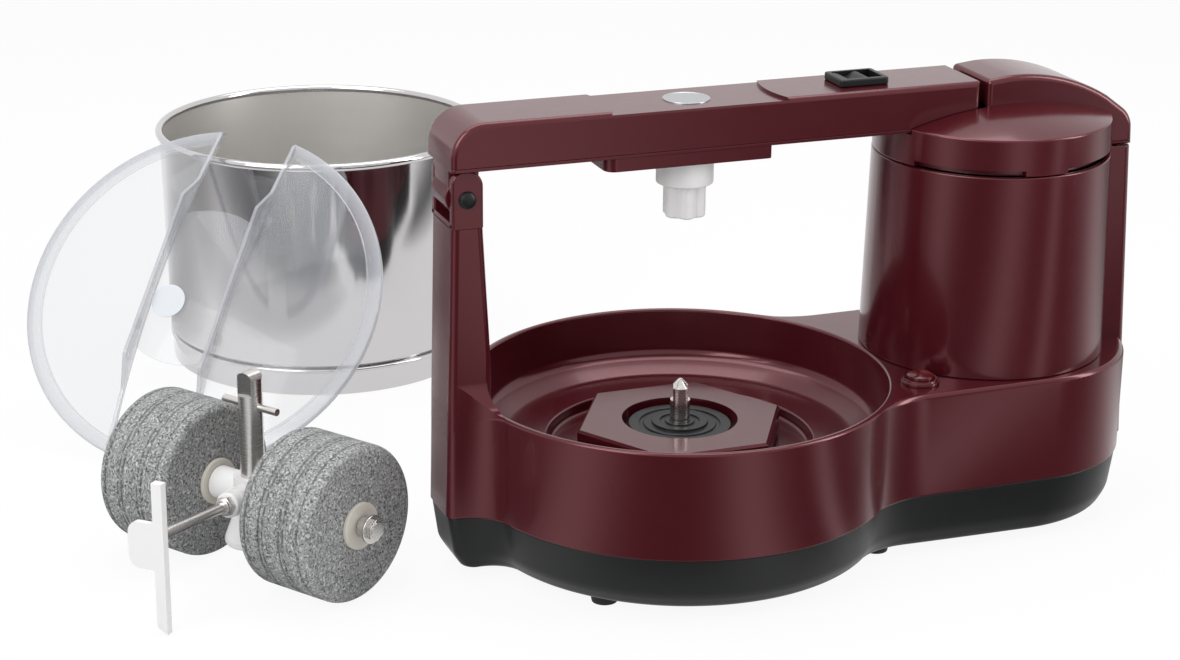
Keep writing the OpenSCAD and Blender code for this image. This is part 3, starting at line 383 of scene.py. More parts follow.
class Form:
    """Points and faces of one piece, gathered from grids and flat outlines."""

    def __init__(self):
        self.points = []
        self.marks = []
        self.faces = []
        self.count = 0

    def add(self, points, mark=0.0):
        """Keeps points with a mark each and returns the number of the first."""
        points = np.asarray(points, float)
        marks = np.broadcast_to(mark, points.shape[:-1])
        self.points.append(points.reshape(-1, 3))
        self.marks.append(marks.reshape(-1))
        self.count += marks.size
        return self.count - marks.size

    def grid(self, points, wrap_rows=False, wrap_columns=False, mark=0.0):
        """A sheet over rows and columns of points, closed on itself either way."""
        rows, columns = points.shape[:2]
        start = self.add(points, mark)
        row = np.arange(rows if wrap_rows else rows - 1)[:, None]
        column = np.arange(columns if wrap_columns else columns - 1)[None, :]
        row_on = (row + 1) % rows
        column_on = (column + 1) % columns
        corners = [row * columns + column, row * columns + column_on,
                   row_on * columns + column_on, row_on * columns + column]
        self.faces += (np.stack(corners, -1).reshape(-1, 4) + start).tolist()
        return self

    def flat(self, points, mark=0.0):
        """One flat face with that outline."""
        start = self.add(points, mark)
        self.faces.append(list(range(start, self.count)))
        return self

    def stack(self, rings):
        """Closed rings joined in their order, with a flat face over the first and the last."""
        rings = np.asarray(rings, float)
        return self.grid(rings, False, True).flat(rings[0]).flat(rings[-1])

    def lathe(self, profile, at=(0, 0, 0), axis=(0, 0, 1), steps=128, mark=0.0):
        """A closed profile of radius and height, turned about an axis."""
        profile = np.asarray(profile, float)
        along = unit(axis)
        across = unit(np.cross(along, ASKEW))
        third = np.cross(along, across)
        angle = full_turn(steps)
        ring = np.cos(angle)[:, None] * across + np.sin(angle)[:, None] * third
        points = profile[:, :1, None] * ring[None] + profile[:, 1:, None] * along + np.asarray(at, float)
        return self.grid(points, True, True, np.reshape(mark, (-1, 1)))

    def slab(self, corners, radii, low, high, edge, axes=UPRIGHT, steps=5, arc_steps=8):
        """A closed outline drawn out from low to high, with its rims rounded by the edge radius.

        A narrow flat margin inside each rounded rim keeps the end faces even.
        """
        first, second, along, origin = np.asarray(axes, float)
        angle = np.linspace(0, np.pi / 2, steps + 1)
        depth = np.hstack([edge + 0.4, edge * (1 - np.sin(angle))])
        rise = np.hstack([0, edge * (1 - np.cos(angle))])
        rings = np.stack([rounded(*inset(corners, radii, d), arc_steps) for d in (*depth, *depth[::-1])])
        level = np.hstack([low + rise, (high - rise)[::-1]])
        return self.stack(rings[..., :1] * first + rings[..., 1:] * second
                          + level[:, None, None] * along + origin)

    def mesh(self, name):
        """The mesh in the row frame, with seams joined and faces pointing outwards."""
        mesh = bpy.data.meshes.new(name)
        points = (np.vstack(self.points) + AXIS) * MM
        mesh.from_pydata(points.tolist(), [], self.faces)
        marks = mesh.attributes.new("edge", "FLOAT", "POINT")
        marks.data.foreach_set("value", np.hstack(self.marks).astype(np.float32))
        tool = bmesh.new()
        tool.from_mesh(mesh)
        bmesh.ops.remove_doubles(tool, verts=tool.verts, dist=2e-6)
        bmesh.ops.dissolve_degenerate(tool, edges=tool.edges, dist=1e-6)
        bmesh.ops.recalc_face_normals(tool, faces=tool.faces)
        tool.to_mesh(mesh)
        tool.free()
        return mesh


def show(name, data):
    """A new object in the scene for a mesh, light or camera."""
    part = bpy.data.objects.new(name, data)
    SCENE.collection.objects.link(part)
    return part


def smooth(mesh, angle=SHARP):
    """Smooth shading with edges kept sharp above an angle in degrees."""
    mesh.shade_smooth()
    mesh.set_sharp_from_angle(angle=np.radians(angle))


def soften(part, width, segments):
    """Rounds the edges of a piece where its faces turn by more than 40 degrees."""
    bevel = part.modifiers.new("soften", "BEVEL")
    bevel.width = width * MM
    bevel.segments = segments
    bevel.limit_method = "ANGLE"
    bevel.angle_limit = np.radians(40)


def even_normals(part):
    """Shading that follows the larger faces, with sharp edges kept."""
    normals = part.modifiers.new("normals", "WEIGHTED_NORMAL")
    normals.keep_sharp = True


def piece(name, form, node, look=None, angle=SHARP, instead=True):
    """An object from a form, on a CAD node's body and in its slot, instead of that node or beside it."""
    mesh = form.mesh(name)
    smooth(mesh, angle)
    part = show(name, mesh)
    even_normals(part)
    dress(part, SLOTS[node], look)
    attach(part, BODIES[node])
    if instead:
        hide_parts(node)
    return part


def cut(part, *forms):
    """Takes the shapes of other forms out of a piece for good."""
    for form in forms:
        tool = show("cutter", form.mesh("cutter"))
        change = part.modifiers.new("cut", "BOOLEAN")
        change.object = tool
        change.operation = "DIFFERENCE"
        change.solver = "EXACT"
        part.modifiers.move(len(part.modifiers) - 1, 0)
        bpy.context.view_layer.update()
        held = part.modifiers["normals"]
        held.show_viewport = False
        graph = bpy.context.evaluated_depsgraph_get()
        mesh = bpy.data.meshes.new_from_object(part.evaluated_get(graph))
        held.show_viewport = True
        part.modifiers.remove(change)
        part.data = mesh
        mesh.name = part.name
        bpy.data.objects.remove(tool)
    smooth(part.data)


def block(low, high):
    """A plain box between two corners."""
    outline = np.array(rectangle(low[0], high[0], low[2], high[2]), float)
    return Form().stack([np.insert(outline, 1, side, 1) for side in (low[1], high[1])])


# Plan of the base, as distance from the spindle in each direction
DECK_W = TOWER_R + 3.5
END_X = MOTOR_X + 12
# Radii of the hollow fillets at the waist and beside the post, and of the post's corners
WAIST_F, POST_F, POST_ROUND = 60.0, 25.0, 5.0
WAIST_Y = DECK_W + WAIST_F
WAIST_X = np.sqrt((BASE_R + WAIST_F) ** 2 - WAIST_Y ** 2)
HOLLOW_Y = HALF_POST + POST_F
HOLLOW_X = -np.sqrt((BASE_R + POST_F) ** 2 - HOLLOW_Y ** 2)
BASIN_R = BASE_R - 4
FLOOR_Z = RIM_Z - 38
WELL_Z = RIM_Z - 45
WELL_R = corners_of("hex_coupling")[1][0] + 14
WALL = 3.0
# The post's outer face leans inwards above this level
DRAFT_Z, POST_DRAFT = PAN_Z + 10, 0.0241


def circle_reach(angle, centre, radius, side):
    """Distance along each direction to the near side (-1) or far side (1) of a circle."""
    along = centre[0] * np.cos(angle) + centre[1] * np.sin(angle)
    rest = along ** 2 - centre[0] ** 2 - centre[1] ** 2 + radius ** 2
    return along + side * np.sqrt(np.maximum(rest, 0))


def plan(angle, depth):
    """Distance from the spindle to the base's outline, moved inwards by a depth.

    The outline joins the round basin, the deck with its half-round end and the post, with hollow
    fillets between them and rounded corners on the post.
    """
    angle = np.abs((angle + np.pi) % (2 * np.pi) - np.pi)
    cosine = np.cos(angle)
    sine = np.maximum(np.sin(angle), 1e-9)
    width = DECK_W - depth
    side = width / sine
    reach = np.where(side * cosine <= END_X, side, circle_reach(angle, (END_X, 0), width, 1))
    deck = np.where(cosine > 0, reach, 0)
    half = HALF_POST - depth
    face = np.minimum(half / sine, (POST_X - depth) / np.maximum(-cosine, 1e-9))
    column = np.where(cosine < 0, face, 0)
    out = np.maximum(np.maximum(BASE_R - depth, deck), column)
    between = (angle > np.arctan2(width, WAIST_X)) & (angle < np.arctan2(WAIST_Y, WAIST_X))
    out = np.where(between, circle_reach(angle, (WAIST_X, WAIST_Y), WAIST_F + depth, -1), out)
    between = (angle > np.arctan2(HOLLOW_Y, HOLLOW_X)) & (angle < np.arctan2(half, HOLLOW_X))
    out = np.where(between, circle_reach(angle, (HOLLOW_X, HOLLOW_Y), POST_F + depth, -1), out)
    corner = (-POST_X + POST_ROUND, HALF_POST - POST_ROUND)
    between = (angle > np.arctan2(half, corner[0])) & (angle < np.arctan2(corner[1], -POST_X + depth))
    return np.where(between, circle_reach(angle, corner, POST_ROUND - depth, 1), out)


def plan_angles(count):
    """Directions spaced evenly along the base's outline."""
    angle = np.linspace(-np.pi, np.pi, 40001)
    reach = plan(angle, 0)
    step = np.hypot(np.diff(reach * np.cos(angle)), np.diff(reach * np.sin(angle)))
    length = np.hstack([0, np.cumsum(step)])
    return np.interp(np.linspace(0, length[-1], count, endpoint=False), length, angle)


ANGLES = plan_angles(1000)
OUTLINE = plan(ANGLES, 0)


def ring_inside(depth, level):
    """The base's outline moved inwards by a depth, at a level."""
    return round_plan(ANGLES, plan(ANGLES, depth), level)


def housing():
    """The basin's housing: outer wall, rounded top edge, deck, rounded rim, bowl and a hidden underside."""
    on_post = np.abs(np.abs(ANGLES) - np.pi) < np.arctan2(HALF_POST + 1, BASE_R)
    edge = np.where(on_post, 0.3, np.clip((OUTLINE - BASE_R) / 2 + 1.8, 1.8, 3.5))
    rows = [ring_inside(1.0, PAN_Z + 0.1), ring_inside(0.25, PAN_Z + 0.35),
            ring_inside(0, PAN_Z + 1.1), ring_inside(0, RIM_Z - 8)]
    for turn in np.radians(np.linspace(0, 90, 7)):
        reach = OUTLINE - edge * (1 - np.cos(turn))
        rows.append(round_plan(ANGLES, reach, RIM_Z - edge * (1 - np.sin(turn))))
    bowl = rounded([(BASE_R - 1.9, RIM_Z), (BASIN_R, RIM_Z), (BASIN_R - 4, RIM_Z - 30),
                    (BASIN_R - 21, FLOOR_Z), (WELL_R, FLOOR_Z), (WELL_R, WELL_Z), (16, WELL_Z),
                    (16, WELL_Z - WALL)], (0, 1.7, 8, 12, 1.5, 2.5, 1, 0), closed=False)
    under = [(WELL_R + WALL, WELL_Z - WALL), (WELL_R + WALL, FLOOR_Z - WALL), (BASIN_R - 20, FLOOR_Z - WALL)]
    rows += [round_plan(ANGLES, reach, level) for reach, level in (*bowl, *under)]
    rows += [ring_inside(WALL, FLOOR_Z - 1), ring_inside(WALL, PAN_Z + 0.1)]
    points = np.stack(rows)
    lean = np.clip(-points[..., 0] - POST_X + 12, 0, 10) / 10
    points[..., 0] += lean * POST_DRAFT * np.maximum(points[..., 2] - DRAFT_Z, 0)
    return Form().grid(points, True, True)


def pan():
    """The pan under the housing: a wall that draws in downwards and turns under with a rounded edge."""
    wall = rounded([(1.8, PAN_Z), (1.0, PAN_Z), (4.5, FOOT_H + 9), (10, FOOT_H), (16, FOOT_H)],
                   (0, 0.7, 14, 7, 0), closed=False)
    rows = [round_plan(ANGLES, OUTLINE - depth, level) for depth, level in wall]
    rows += [round_plan(ANGLES, 20.0, level) for level in (FOOT_H, FOOT_H + WALL)]
    rows += [round_plan(ANGLES, OUTLINE - 18, FOOT_H + WALL), round_plan(ANGLES, OUTLINE - 5, PAN_Z)]
    return Form().grid(np.stack(rows), True, True)


piece("housing", housing(), "main_housing")
piece("pan", pan(), "base_pan")


# Hinge post, tower and arm
POST_TOP = span("main_housing")[1][2]
BRACKET_LOW, BRACKET_HIGH = corners_of("hinge_bracket")
FOOT_SWEEP = 18.0
EAR_T = 6
SPINE_X, _, SEAM_Z = corners_of("tower_shell")[1]
SEAM_R = -corners_of("tower_cap")[0][1]
SEAM_GAP = 0.25
CAP_EDGE, CAP_RISE = SEAM_Z + 22, 12
VENTS = ((-157, -102), (-80, -29))
BRIDGE_X = corners_of("latch_keeper")[0][0]
BRIDGE_TOP = span("tower_cap")[1][2]
BRIDGE_R, CROWN_X = 122.0, MOTOR_X + 3
ARM_W = np.ptp([corner[1] for corner in span("arm_upper_cover")])
HALF_ARM = ARM_W / 2
ARM_LOW = span("coupling_housing")[1][2]
ARM_SEAM = ARM_LOW + 2.4
ARM_X0, ARM_X1 = (corner[0] for corner in corners_of("arm_upper_cover"))
PAD_TOP = span("arm_upper_cover")[1][2]
PAD_STEP, PAD_BOW = 55.0, 4.5
PIN = joint_at("arm_hinge")[0] - AXIS
SLIDE_X = (middle("latch_slider") - AXIS)[0]
LATCH_HALF, LATCH_H, LATCH_RIM = 12.5, 4.6, 3.0
BOLT_LOW, BOLT_HIGH = corners_of("latch_bolt")
BOLT_ROOM = 0.5
LOBE_AT, LOBE_DEPTH, SOCKET_R = -102.0, 2.4, 7.2


def post_left(level):
    """Outer face of the post at a level."""
    return -POST_X + POST_DRAFT * (level - DRAFT_Z)


def spine_at(level):
    """Back face of the spine at a level."""
    return SPINE_X - 0.045 * (level - PAN_Z)


def post():
    """The hinge post, a tapering column with a flared foot on the bowl's side."""
    low, high = RIM_Z - 13, POST_TOP + 8
    corners = [(post_left(low) + 0.15, low), (post_left(high), high), (BRACKET_HIGH[0], high),
               (-BASIN_R - 0.6, RIM_Z + 30), (-BASIN_R - 0.6, low)]
    return Form().slab(corners, (0.1, 0.8, 0.8, 12, 0.1), -HALF_POST + 0.1, HALF_POST - 0.1, 4.0)


def post_foot(side):
    """The hollow sweep from the rim up to the post's face on one side.

    Its top is a quarter of a hollow cylinder along the face, between the bowl's edge and the base's outline.
    """
    turn = np.linspace(0, np.pi / 2, 40)
    run_out = 1.6 * np.linspace(0, 1, 40) ** 3
    away = HALF_POST - 0.1 + FOOT_SWEEP * (1 - np.cos(turn))
    top = RIM_Z - 0.1 + FOOT_SWEEP * (1 - np.sin(turn))
    outer = HOLLOW_X + np.sqrt(np.clip(POST_F ** 2 - (HOLLOW_Y - away) ** 2, 0, None)) + 0.05 + run_out
    inner = -np.sqrt((BASIN_R + 1.2) ** 2 - away ** 2) - run_out - 4.4 * np.cos(turn) ** 2
    share = np.array([0, *np.linspace(0, 1, 10), 1])[None]
    across = inner[:, None] * (1 - share) + outer[:, None] * share
    level = np.repeat(top[:, None], share.size, 1)
    level[:, [0, -1]] = RIM_Z - 9.0
    return Form().stack(np.stack([across, side * away[:, None] + 0 * across, level], -1))


def bracket_ear(start):
    """One ear of the hinge bracket with rounded top corners, before its foot is cut off."""
    (left, _, _), (right, _, top) = BRACKET_LOW, BRACKET_HIGH
    ear = [(left, POST_TOP - 4), (left, top), (right, top), (right, POST_TOP - 4)]
    return Form().slab(ear, (0.6, 7.0, 9.0, 0.6), start, start + EAR_T, 1.2)


def bracket_base():
    """The plate between the ears on top of the post."""
    base = rectangle(BRACKET_LOW[0], BRACKET_HIGH[0], POST_TOP + 0.15, POST_TOP + 3)
    return Form().slab(base, 0.5, -HALF_POST + 1, HALF_POST - 1, 0.3)


def tower():
    """The round motor tower and the spine at its back."""
    foot, top = RIM_Z + SEAM_GAP, SEAM_Z - SEAM_GAP
    wall = rounded([(TOWER_R, foot), (SEAM_R, top), (SEAM_R - WALL, top), (TOWER_R - WALL, foot)],
                   (0.5, 0.9, 0.3, 0.3), 4)
    level = np.linspace(PAN_Z + 0.2, top, 24)
    level = np.hstack([level[:-1], level[-1] - np.array([1.0, 0.4, 0.1, 0.0])])
    draw = np.hstack([np.zeros(23), 0.0, 0.1, 0.4, 1.0])
    inner = MOTOR_X + 64
    rings = []
    for height, depth in zip(level, draw):
        half = HALF_ARM - depth
        spine = rectangle(inner, spine_at(height) - depth, -half, half)
        rings.append(at_level(rounded(spine, (0.5, 5, 5, 0.5), 8), height))
    return Form().lathe(wall, (MOTOR_X, 0, 0), steps=200).stack(rings)


def cap_dome():
    """The tower's cap: a short wall, a crisp edge and a shallow dome."""
    radius = (SEAM_R ** 2 + CAP_RISE ** 2) / (2 * CAP_RISE)
    out = np.linspace(SEAM_R - 0.5, 0, 30)
    top = np.column_stack([out, CAP_EDGE + CAP_RISE - radius + np.sqrt(radius ** 2 - out ** 2)])
    low = SEAM_Z + SEAM_GAP
    wall = rounded([(SEAM_R - WALL, low), (SEAM_R, low), *top[:2]], (0, 0.9, 1.4, 0), closed=False)
    return Form().lathe(np.vstack([(0, low), wall, top[2:]]), (MOTOR_X, 0, 0), steps=200)


def bridge():
    """The block that the arm's end meets, with a curved top that runs down into the spine."""
    across = np.linspace(BRIDGE_X + 14, MOTOR_X + 66, 14)
    across = np.hstack([BRIDGE_X, across, spine_at(CAP_EDGE)])
    crown = BRIDGE_TOP - BRIDGE_R + np.sqrt(BRIDGE_R ** 2 - (across - CROWN_X) ** 2)
    low, inner = SEAM_Z + SEAM_GAP, MOTOR_X + 60
    corners = [(BRIDGE_X, ARM_LOW - 1), *np.column_stack([across, crown]), (spine_at(SEAM_Z), low),
               (inner, low), (inner, ARM_LOW - 1)]
    radii = (0.5, 3.0, *[0] * (len(across) - 2), 16.0, 0.9, 0.5, 0.5)
    return Form().slab(corners, radii, -HALF_ARM, HALF_ARM, 3.2)


def vent(start, end):
    """A slot to cut at the cap's lower edge between two angles about the motor's axis."""
    angle = np.radians(np.linspace(start, end, 40))[:, None]
    radius, level = np.array(rectangle(SEAM_R - 5, SEAM_R + 4, SEAM_Z - 1, SEAM_Z + 4.0)).T
    return Form().stack(round_plan(angle, radius, level) + [MOTOR_X, 0, 0])


def arm_cover():
    """The arm's upper cover: a bar with a rounded hinge end, before it is cut off at its seam."""
    low = ARM_LOW - 4
    corners = [(ARM_X0, low), (ARM_X0, PAD_TOP), (ARM_X1, PAD_TOP), (ARM_X1, low)]
    return Form().slab(corners, (0.8, 20.0, 1.0, 0.8), -HALF_ARM, HALF_ARM, 3.0, steps=6, arc_steps=14)


def arm_waist():
    """The shallow space between the arm's two pads, whose ends are bowed towards each other."""
    across = np.linspace(-HALF_ARM - 2, HALF_ARM + 2, 25)
    bow = PAD_STEP - PAD_BOW * (1 - (2 * across / ARM_W) ** 2)
    outline = np.vstack([np.column_stack([bow, across]), np.column_stack([-bow, across])[::-1]])
    return Form().stack([at_level(outline, level) for level in (PAD_TOP - 1.6, PAD_TOP + 5)])


def arm_floor():
    """The arm's lower cover: a thin band with a set-back core, and the knuckle around the hinge pin."""
    form = Form()
    layers = ((0.0, ARM_LOW, ARM_SEAM - 0.3, 0.4), (1.2, ARM_LOW + 1, ARM_SEAM + 2, 0.2))
    for depth, low, high, edge in layers:
        half = HALF_ARM - depth
        form.slab(rectangle(ARM_X0 + depth, ARM_X1 - depth, -half, half), 2.2, low, high, edge, LEVEL)
    bore = span("hinge_pin")[1][2] - PIN[2] + 0.2
    side = HALF_POST - EAR_T - 0.5
    tube = rounded(rectangle(bore, 11, -side, side), (0.1, 0.8, 0.8, 0.1), 4)
    form.lathe(tube, (PIN[0], 0, PIN[2]), (0, 1, 0), 96)
    neck = rectangle(PIN[0] - 9, PIN[0] + 9, PIN[2] + bore + 1, ARM_LOW + 1)
    return form.slab(neck, 0.5, -side, side, 0.8)


def coupling_box():
    """The box under the arm, with its corners towards the hinge well rounded."""
    low, high = corners_of("coupling_housing")
    half = high[1] - 0.6
    outline = rectangle(low[0] + 1, high[0], -half, half)
    return Form().slab(outline, (7.0, 1.2, 1.2, 7.0), low[2], high[2] + 1, 0.9, LEVEL)


def coupling():
    """The nylon coupling: a plain barrel over six rounded lobes, with a socket from below."""
    low, high = corners_of("shaft_coupling")
    barrel = high[0] - 3.0
    lobe = barrel - 4.0
    foot, shoulder, top = low[2], low[2] + 20.0, high[2] - 6
    angle = full_turn(240)
    wave = np.abs(np.cos(3 * (angle - np.radians(LOBE_AT)))) - 1
    rows = [(0, 0, shoulder), (SOCKET_R, 0, shoulder), (SOCKET_R, 0, foot + 0.6), (SOCKET_R + 0.6, 0, foot),
            (lobe - 1.2, LOBE_DEPTH, foot), (lobe - 0.4, LOBE_DEPTH, foot + 0.4),
            (lobe, LOBE_DEPTH, foot + 1.2), (lobe, LOBE_DEPTH, shoulder - 0.6), (lobe + 0.6, 1.8, shoulder),
            (barrel - 0.9, 0, shoulder), (barrel - 0.25, 0, shoulder + 0.3), (barrel, 0, shoulder + 1),
            (barrel, 0, top), (0, 0, top)]
    points = [round_plan(angle, radius + depth * wave, height) for radius, depth, height in rows]
    return Form().grid(np.stack(points), False, True)


def badge():
    """A plain round plate on the arm, with a slightly raised rim."""
    low, high = corners_of("badge_disc")
    radius, top = high[0], high[2]
    profile = rounded([(0, low[2]), (radius, low[2]), (radius, top), (radius - 1.4, top),
                       (radius - 2, top - 0.25), (0, top - 0.25)], (0, 0.1, 0.3, 0.2, 0.2, 0), 4)
    return Form().lathe(profile)


def pin_caps():
    """Domed black plugs over the hinge pin's ends."""
    radius = 5.2
    turn = np.linspace(0, np.pi / 2, 9)
    bulge = np.column_stack([radius * np.cos(turn), HALF_POST + 2.6 * np.sin(turn)])
    profile = np.vstack([(0, HALF_POST - 0.6), (radius, HALF_POST - 0.6), bulge])
    form = Form()
    for side in (1, -1):
        form.lathe(profile, (PIN[0], 0, PIN[2]), (0, side, 0), 48)
    return form


def latch_frame():
    """The arm lock's frame: a low rounded box, from which the slider's way is cut."""
    low, high = corners_of("latch_bezel")
    outline = rectangle(low[0] + 0.8, high[0] - 0.8, -LATCH_HALF, LATCH_HALF)
    return Form().slab(outline, 2.2, PAD_TOP, PAD_TOP + LATCH_H, 1.0, LEVEL)


def latch_thumb():
    """The arm lock's slider: a hollowed thumb piece on a leg that reaches the bolt."""
    low, high = corners_of("latch_slider")
    along = np.linspace(low[0] + 1.5, high[0] - 1.5, 9)
    dip = PAD_TOP + LATCH_H - 0.4 - 2.6 * np.sin(np.pi * np.linspace(0, 1, 9)) ** 2
    top = np.column_stack([along, dip])[::-1]
    base = PAD_TOP + 0.4
    corners = [(low[0], base), (high[0], base), (high[0], top[0, 1]), *top, (low[0], top[-1, 1])]
    radii = (0.3, 0.3, 0.5, *[0] * len(top), 0.5)
    half = LATCH_HALF - LATCH_RIM - 0.4
    leg = rectangle(SLIDE_X - 3.5, SLIDE_X + 4, low[2], base + 1)
    return Form().slab(corners, radii, -half, half, 0.3).slab(leg, 0.3, -4, 4, 0.2)


above_post = block((-POST_X - 9, -POST_W, POST_TOP - 0.15), (-BASIN_R + 30, POST_W, POST_TOP + 60))
under_bracket = block((-POST_X - 9, -POST_W, POST_TOP - 30), (-BASIN_R + 30, POST_W, POST_TOP + 0.15))
cut(piece("post", post(), "main_housing"), above_post)
for foot_name, foot_side in (("post_foot_front", -1), ("post_foot_back", 1)):
    foot_piece = piece(foot_name, post_foot(foot_side), "main_housing")
    soften(foot_piece, 1.2, 3)
    foot_piece.modifiers.move(1, 0)
for ear_name, ear_start in (("ear_front", -HALF_POST), ("ear_back", HALF_POST - EAR_T)):
    cut(piece(ear_name, bracket_ear(ear_start), "hinge_bracket"), under_bracket)
piece("bracket_base", bracket_base(), "hinge_bracket")
piece("tower", tower(), "tower_shell")
cap = piece("cap", cap_dome(), "tower_cap")
vents = [vent(side * start, side * end) for start, end in VENTS for side in (1, -1)]
arm_room = block((MOTOR_X - 90, -HALF_ARM - 1, ARM_LOW - 1), (BRIDGE_X, HALF_ARM + 1, BRIDGE_TOP))
bolt_way = block(BOLT_LOW - BOLT_ROOM, BOLT_HIGH + BOLT_ROOM + [30, 0, 0])
bolt_end = block(BOLT_LOW - BOLT_ROOM, BOLT_HIGH + BOLT_ROOM + [10, 0, 0])
cut(cap, arm_room, bolt_end, *vents)
cut(piece("bridge", bridge(), "tower_cap"), bolt_end)
under_seam = block((ARM_X0 - 9, -ARM_W, ARM_LOW - 9), (ARM_X1 + 9, ARM_W, ARM_SEAM))
leg_way = block((SLIDE_X - 4.5, -4.6, BOLT_LOW[2]), (SLIDE_X + 13, 4.6, PAD_TOP + 9))
cover = piece("arm_cover", arm_cover(), "arm_upper_cover")
cut(cover, under_seam, arm_waist(), leg_way, bolt_way)
piece("arm_floor", arm_floor(), "arm_lower_cover")
piece("coupling_box", coupling_box(), "coupling_housing")
piece("coupling", coupling(), "shaft_coupling", angle=50)
piece("pin_caps", pin_caps(), "hinge_pin", instead=False)
piece("badge", badge(), "badge_disc", "zinc")
bezel = piece("latch_frame", latch_frame(), "latch_bezel")
way_x = corners_of("latch_slider")[0][0] - 0.4
way_half = LATCH_HALF - LATCH_RIM
cut(bezel, block((way_x, -way_half, PAD_TOP - 2), (way_x + 24.8, way_half, PAD_TOP + 9)))
piece("latch_thumb", latch_thumb(), "latch_slider")


# Drum
RIM_BEAD = 2.7
DRUM = middle("drum_shell") * [1, 1, 0] - AXIS
DRUM_H = span("drum_shell")[1][2]
DRUM_R = np.ptp([corner[0] for corner in span("drum_shell")]) / 2 - RIM_BEAD
FOOT_R = DRUM_R - 4


def drum():
    """The steel drum: a slightly flared wall on a drawn-in foot, a floor and a rolled rim."""
    top = DRUM_H - RIM_BEAD
    wall = rounded([(6.4, 8), (FOOT_R - 1.4, 8), (FOOT_R - 1.4, 19), (FOOT_R + 1.2, 22), (DRUM_R, top),
                    (DRUM_R - 1.2, top), (FOOT_R, 22.5), (FOOT_R - 2.5, 19.5), (FOOT_R - 2.5, 9.2),
                    (6.4, 9.2)], (0, 0.5, 2, 3, 0.2, 0.2, 3, 2, 0.5, 0), 5)
    form = Form().lathe(wall, DRUM, steps=240)
    return form.lathe(circle((DRUM_R, top), RIM_BEAD), DRUM, steps=240)


def lining():
    """The drum's satin inside, a thin skin on the wall."""
    low, high = 22.6, DRUM_H - 3.2
    skin = [(DRUM_R - 1.35, high), (FOOT_R - 0.15, low), (FOOT_R - 0.25, low), (DRUM_R - 1.45, high)]
    return Form().lathe(skin, DRUM, steps=240)


def base_ring():
    """The band under the drum with a bead at its upper edge."""
    band = rounded(rectangle(FOOT_R - 1.3, FOOT_R, 0, 19), 0.5, 4)
    form = Form().lathe(band, DRUM, steps=240)
    return form.lathe(circle((FOOT_R + 0.1, 17.6), 1.4, 16), DRUM, steps=240)


piece("drum", drum(), "drum_shell")
piece("drum_lining", lining(), "drum_shell", "satin_steel", instead=False)
piece("drum_ring", base_ring(), "drum_base_ring")


# Roller stones, with distances along the axle from its middle and along the scraper's rod from its start
STONE_R = ROLLERS[2]
STONE_IN, STONE_W, SHOULDER = 30.0, 52.0, 4.8
STONE_OUT = STONE_IN + STONE_W
GROOVES = (0.12, 0.32, 0.38, 0.62, 0.68, 0.88)
AXLE_R = 5.0
COLLAR = STONE_OUT + 3.5
ROD_FROM = ROLLERS - np.array([0, 0, 1.0])
ROD = unit(middle("scraper_nut") - AXIS - ROD_FROM)
ROD_R, BOSS_R, BOSS_END = 3.05, 7.6, 31.0
NUT_END, NUT_COLLAR = 4.2, 5.8


def stone_form(side):
    """A granite wheel with rounded shoulders and shallow grooves around it, four of them in two pairs."""
    shoulder = rounded(rectangle(11, STONE_R, STONE_IN, STONE_OUT), (0, SHOULDER, SHOULDER, 0), 12)
    along = np.linspace(STONE_IN + SHOULDER + 0.5, STONE_OUT - SHOULDER - 0.5, 110)
    dips = sum(np.exp(-((along - STONE_IN - STONE_W * share) / 0.8) ** 2) for share in GROOVES)
    tread = np.column_stack([STONE_R - 0.3 * dips, along])
    split = len(shoulder) // 2
    profile = np.vstack([shoulder[:split], tread, shoulder[split:]])
    # The grooves' depth is kept as the mark, which the granite darkens as painted shade
    mark = np.hstack([np.zeros(split), dips, np.zeros(len(shoulder) - split)])
    return Form().lathe(profile, ROLLERS, side * AXLE, 160, mark)


def axle_end(form, start, end, radius, steps, soft):
    """A collar on both ends of the axle between two distances from its middle, round or with six sides."""
    profile = rounded(rectangle(AXLE_R + 0.05, radius, start, end), (0, soft, soft, 0), 3)
    for side in (1, -1):
        form.lathe(profile, ROLLERS, side * AXLE, steps)
    return form


def rod_boss():
    """A round boss of the hub along the scraper's rod, and a longer skirt under the hub."""
    profile = rounded(rectangle(ROD_R, BOSS_R, 12, BOSS_END), (0, 0, 1.5, 0), 5)
    skirt = rounded([(12.5, 16), (18, 16), (17.6, 20), (12.4, 34), (11, 34)], (0.5, 1.5, 2, 2, 0.3), 5)
    return Form().lathe(profile, ROD_FROM, ROD, 64).lathe(skirt, ROLLERS * [1, 1, 0], steps=96)


def rod_nut():
    """A six-sided nut on the rod against the boss, with a round collar."""
    nut = rounded(rectangle(ROD_R, 6.0, 0, NUT_END), (0, 0.3, 0.6, 0), 3)
    collar = rounded(rectangle(ROD_R, 4.8, NUT_END, NUT_COLLAR), (0, 0.2, 0.6, 0), 3)
    against = ROD_FROM + BOSS_END * ROD
    return Form().lathe(nut, against, ROD, 6).lathe(collar, against, ROD, 48)


sleeves = axle_end(Form(), COLLAR, COLLAR + 5.6, AXLE_R + 1.6, 64, 0.3)
piece("axle_sleeves", sleeves, "axle_washers", "steel")
flanges = axle_end(Form(), COLLAR + 5.6, COLLAR + 7.2, AXLE_R + 3.6, 64, 0.4)
nuts = axle_end(flanges, COLLAR + 7.2, COLLAR + 10.2, AXLE_R + 1.6, 6, 0.3)
piece("axle_nuts_round", nuts, "axle_nuts", "steel")
piece("rod_boss", rod_boss(), "roller_hub", instead=False)
piece("rod_nut", rod_nut(), "scraper_nut", "steel")
piece("stone_left", stone_form(-1), "left_stone")
piece("stone_right", stone_form(1), "right_stone")


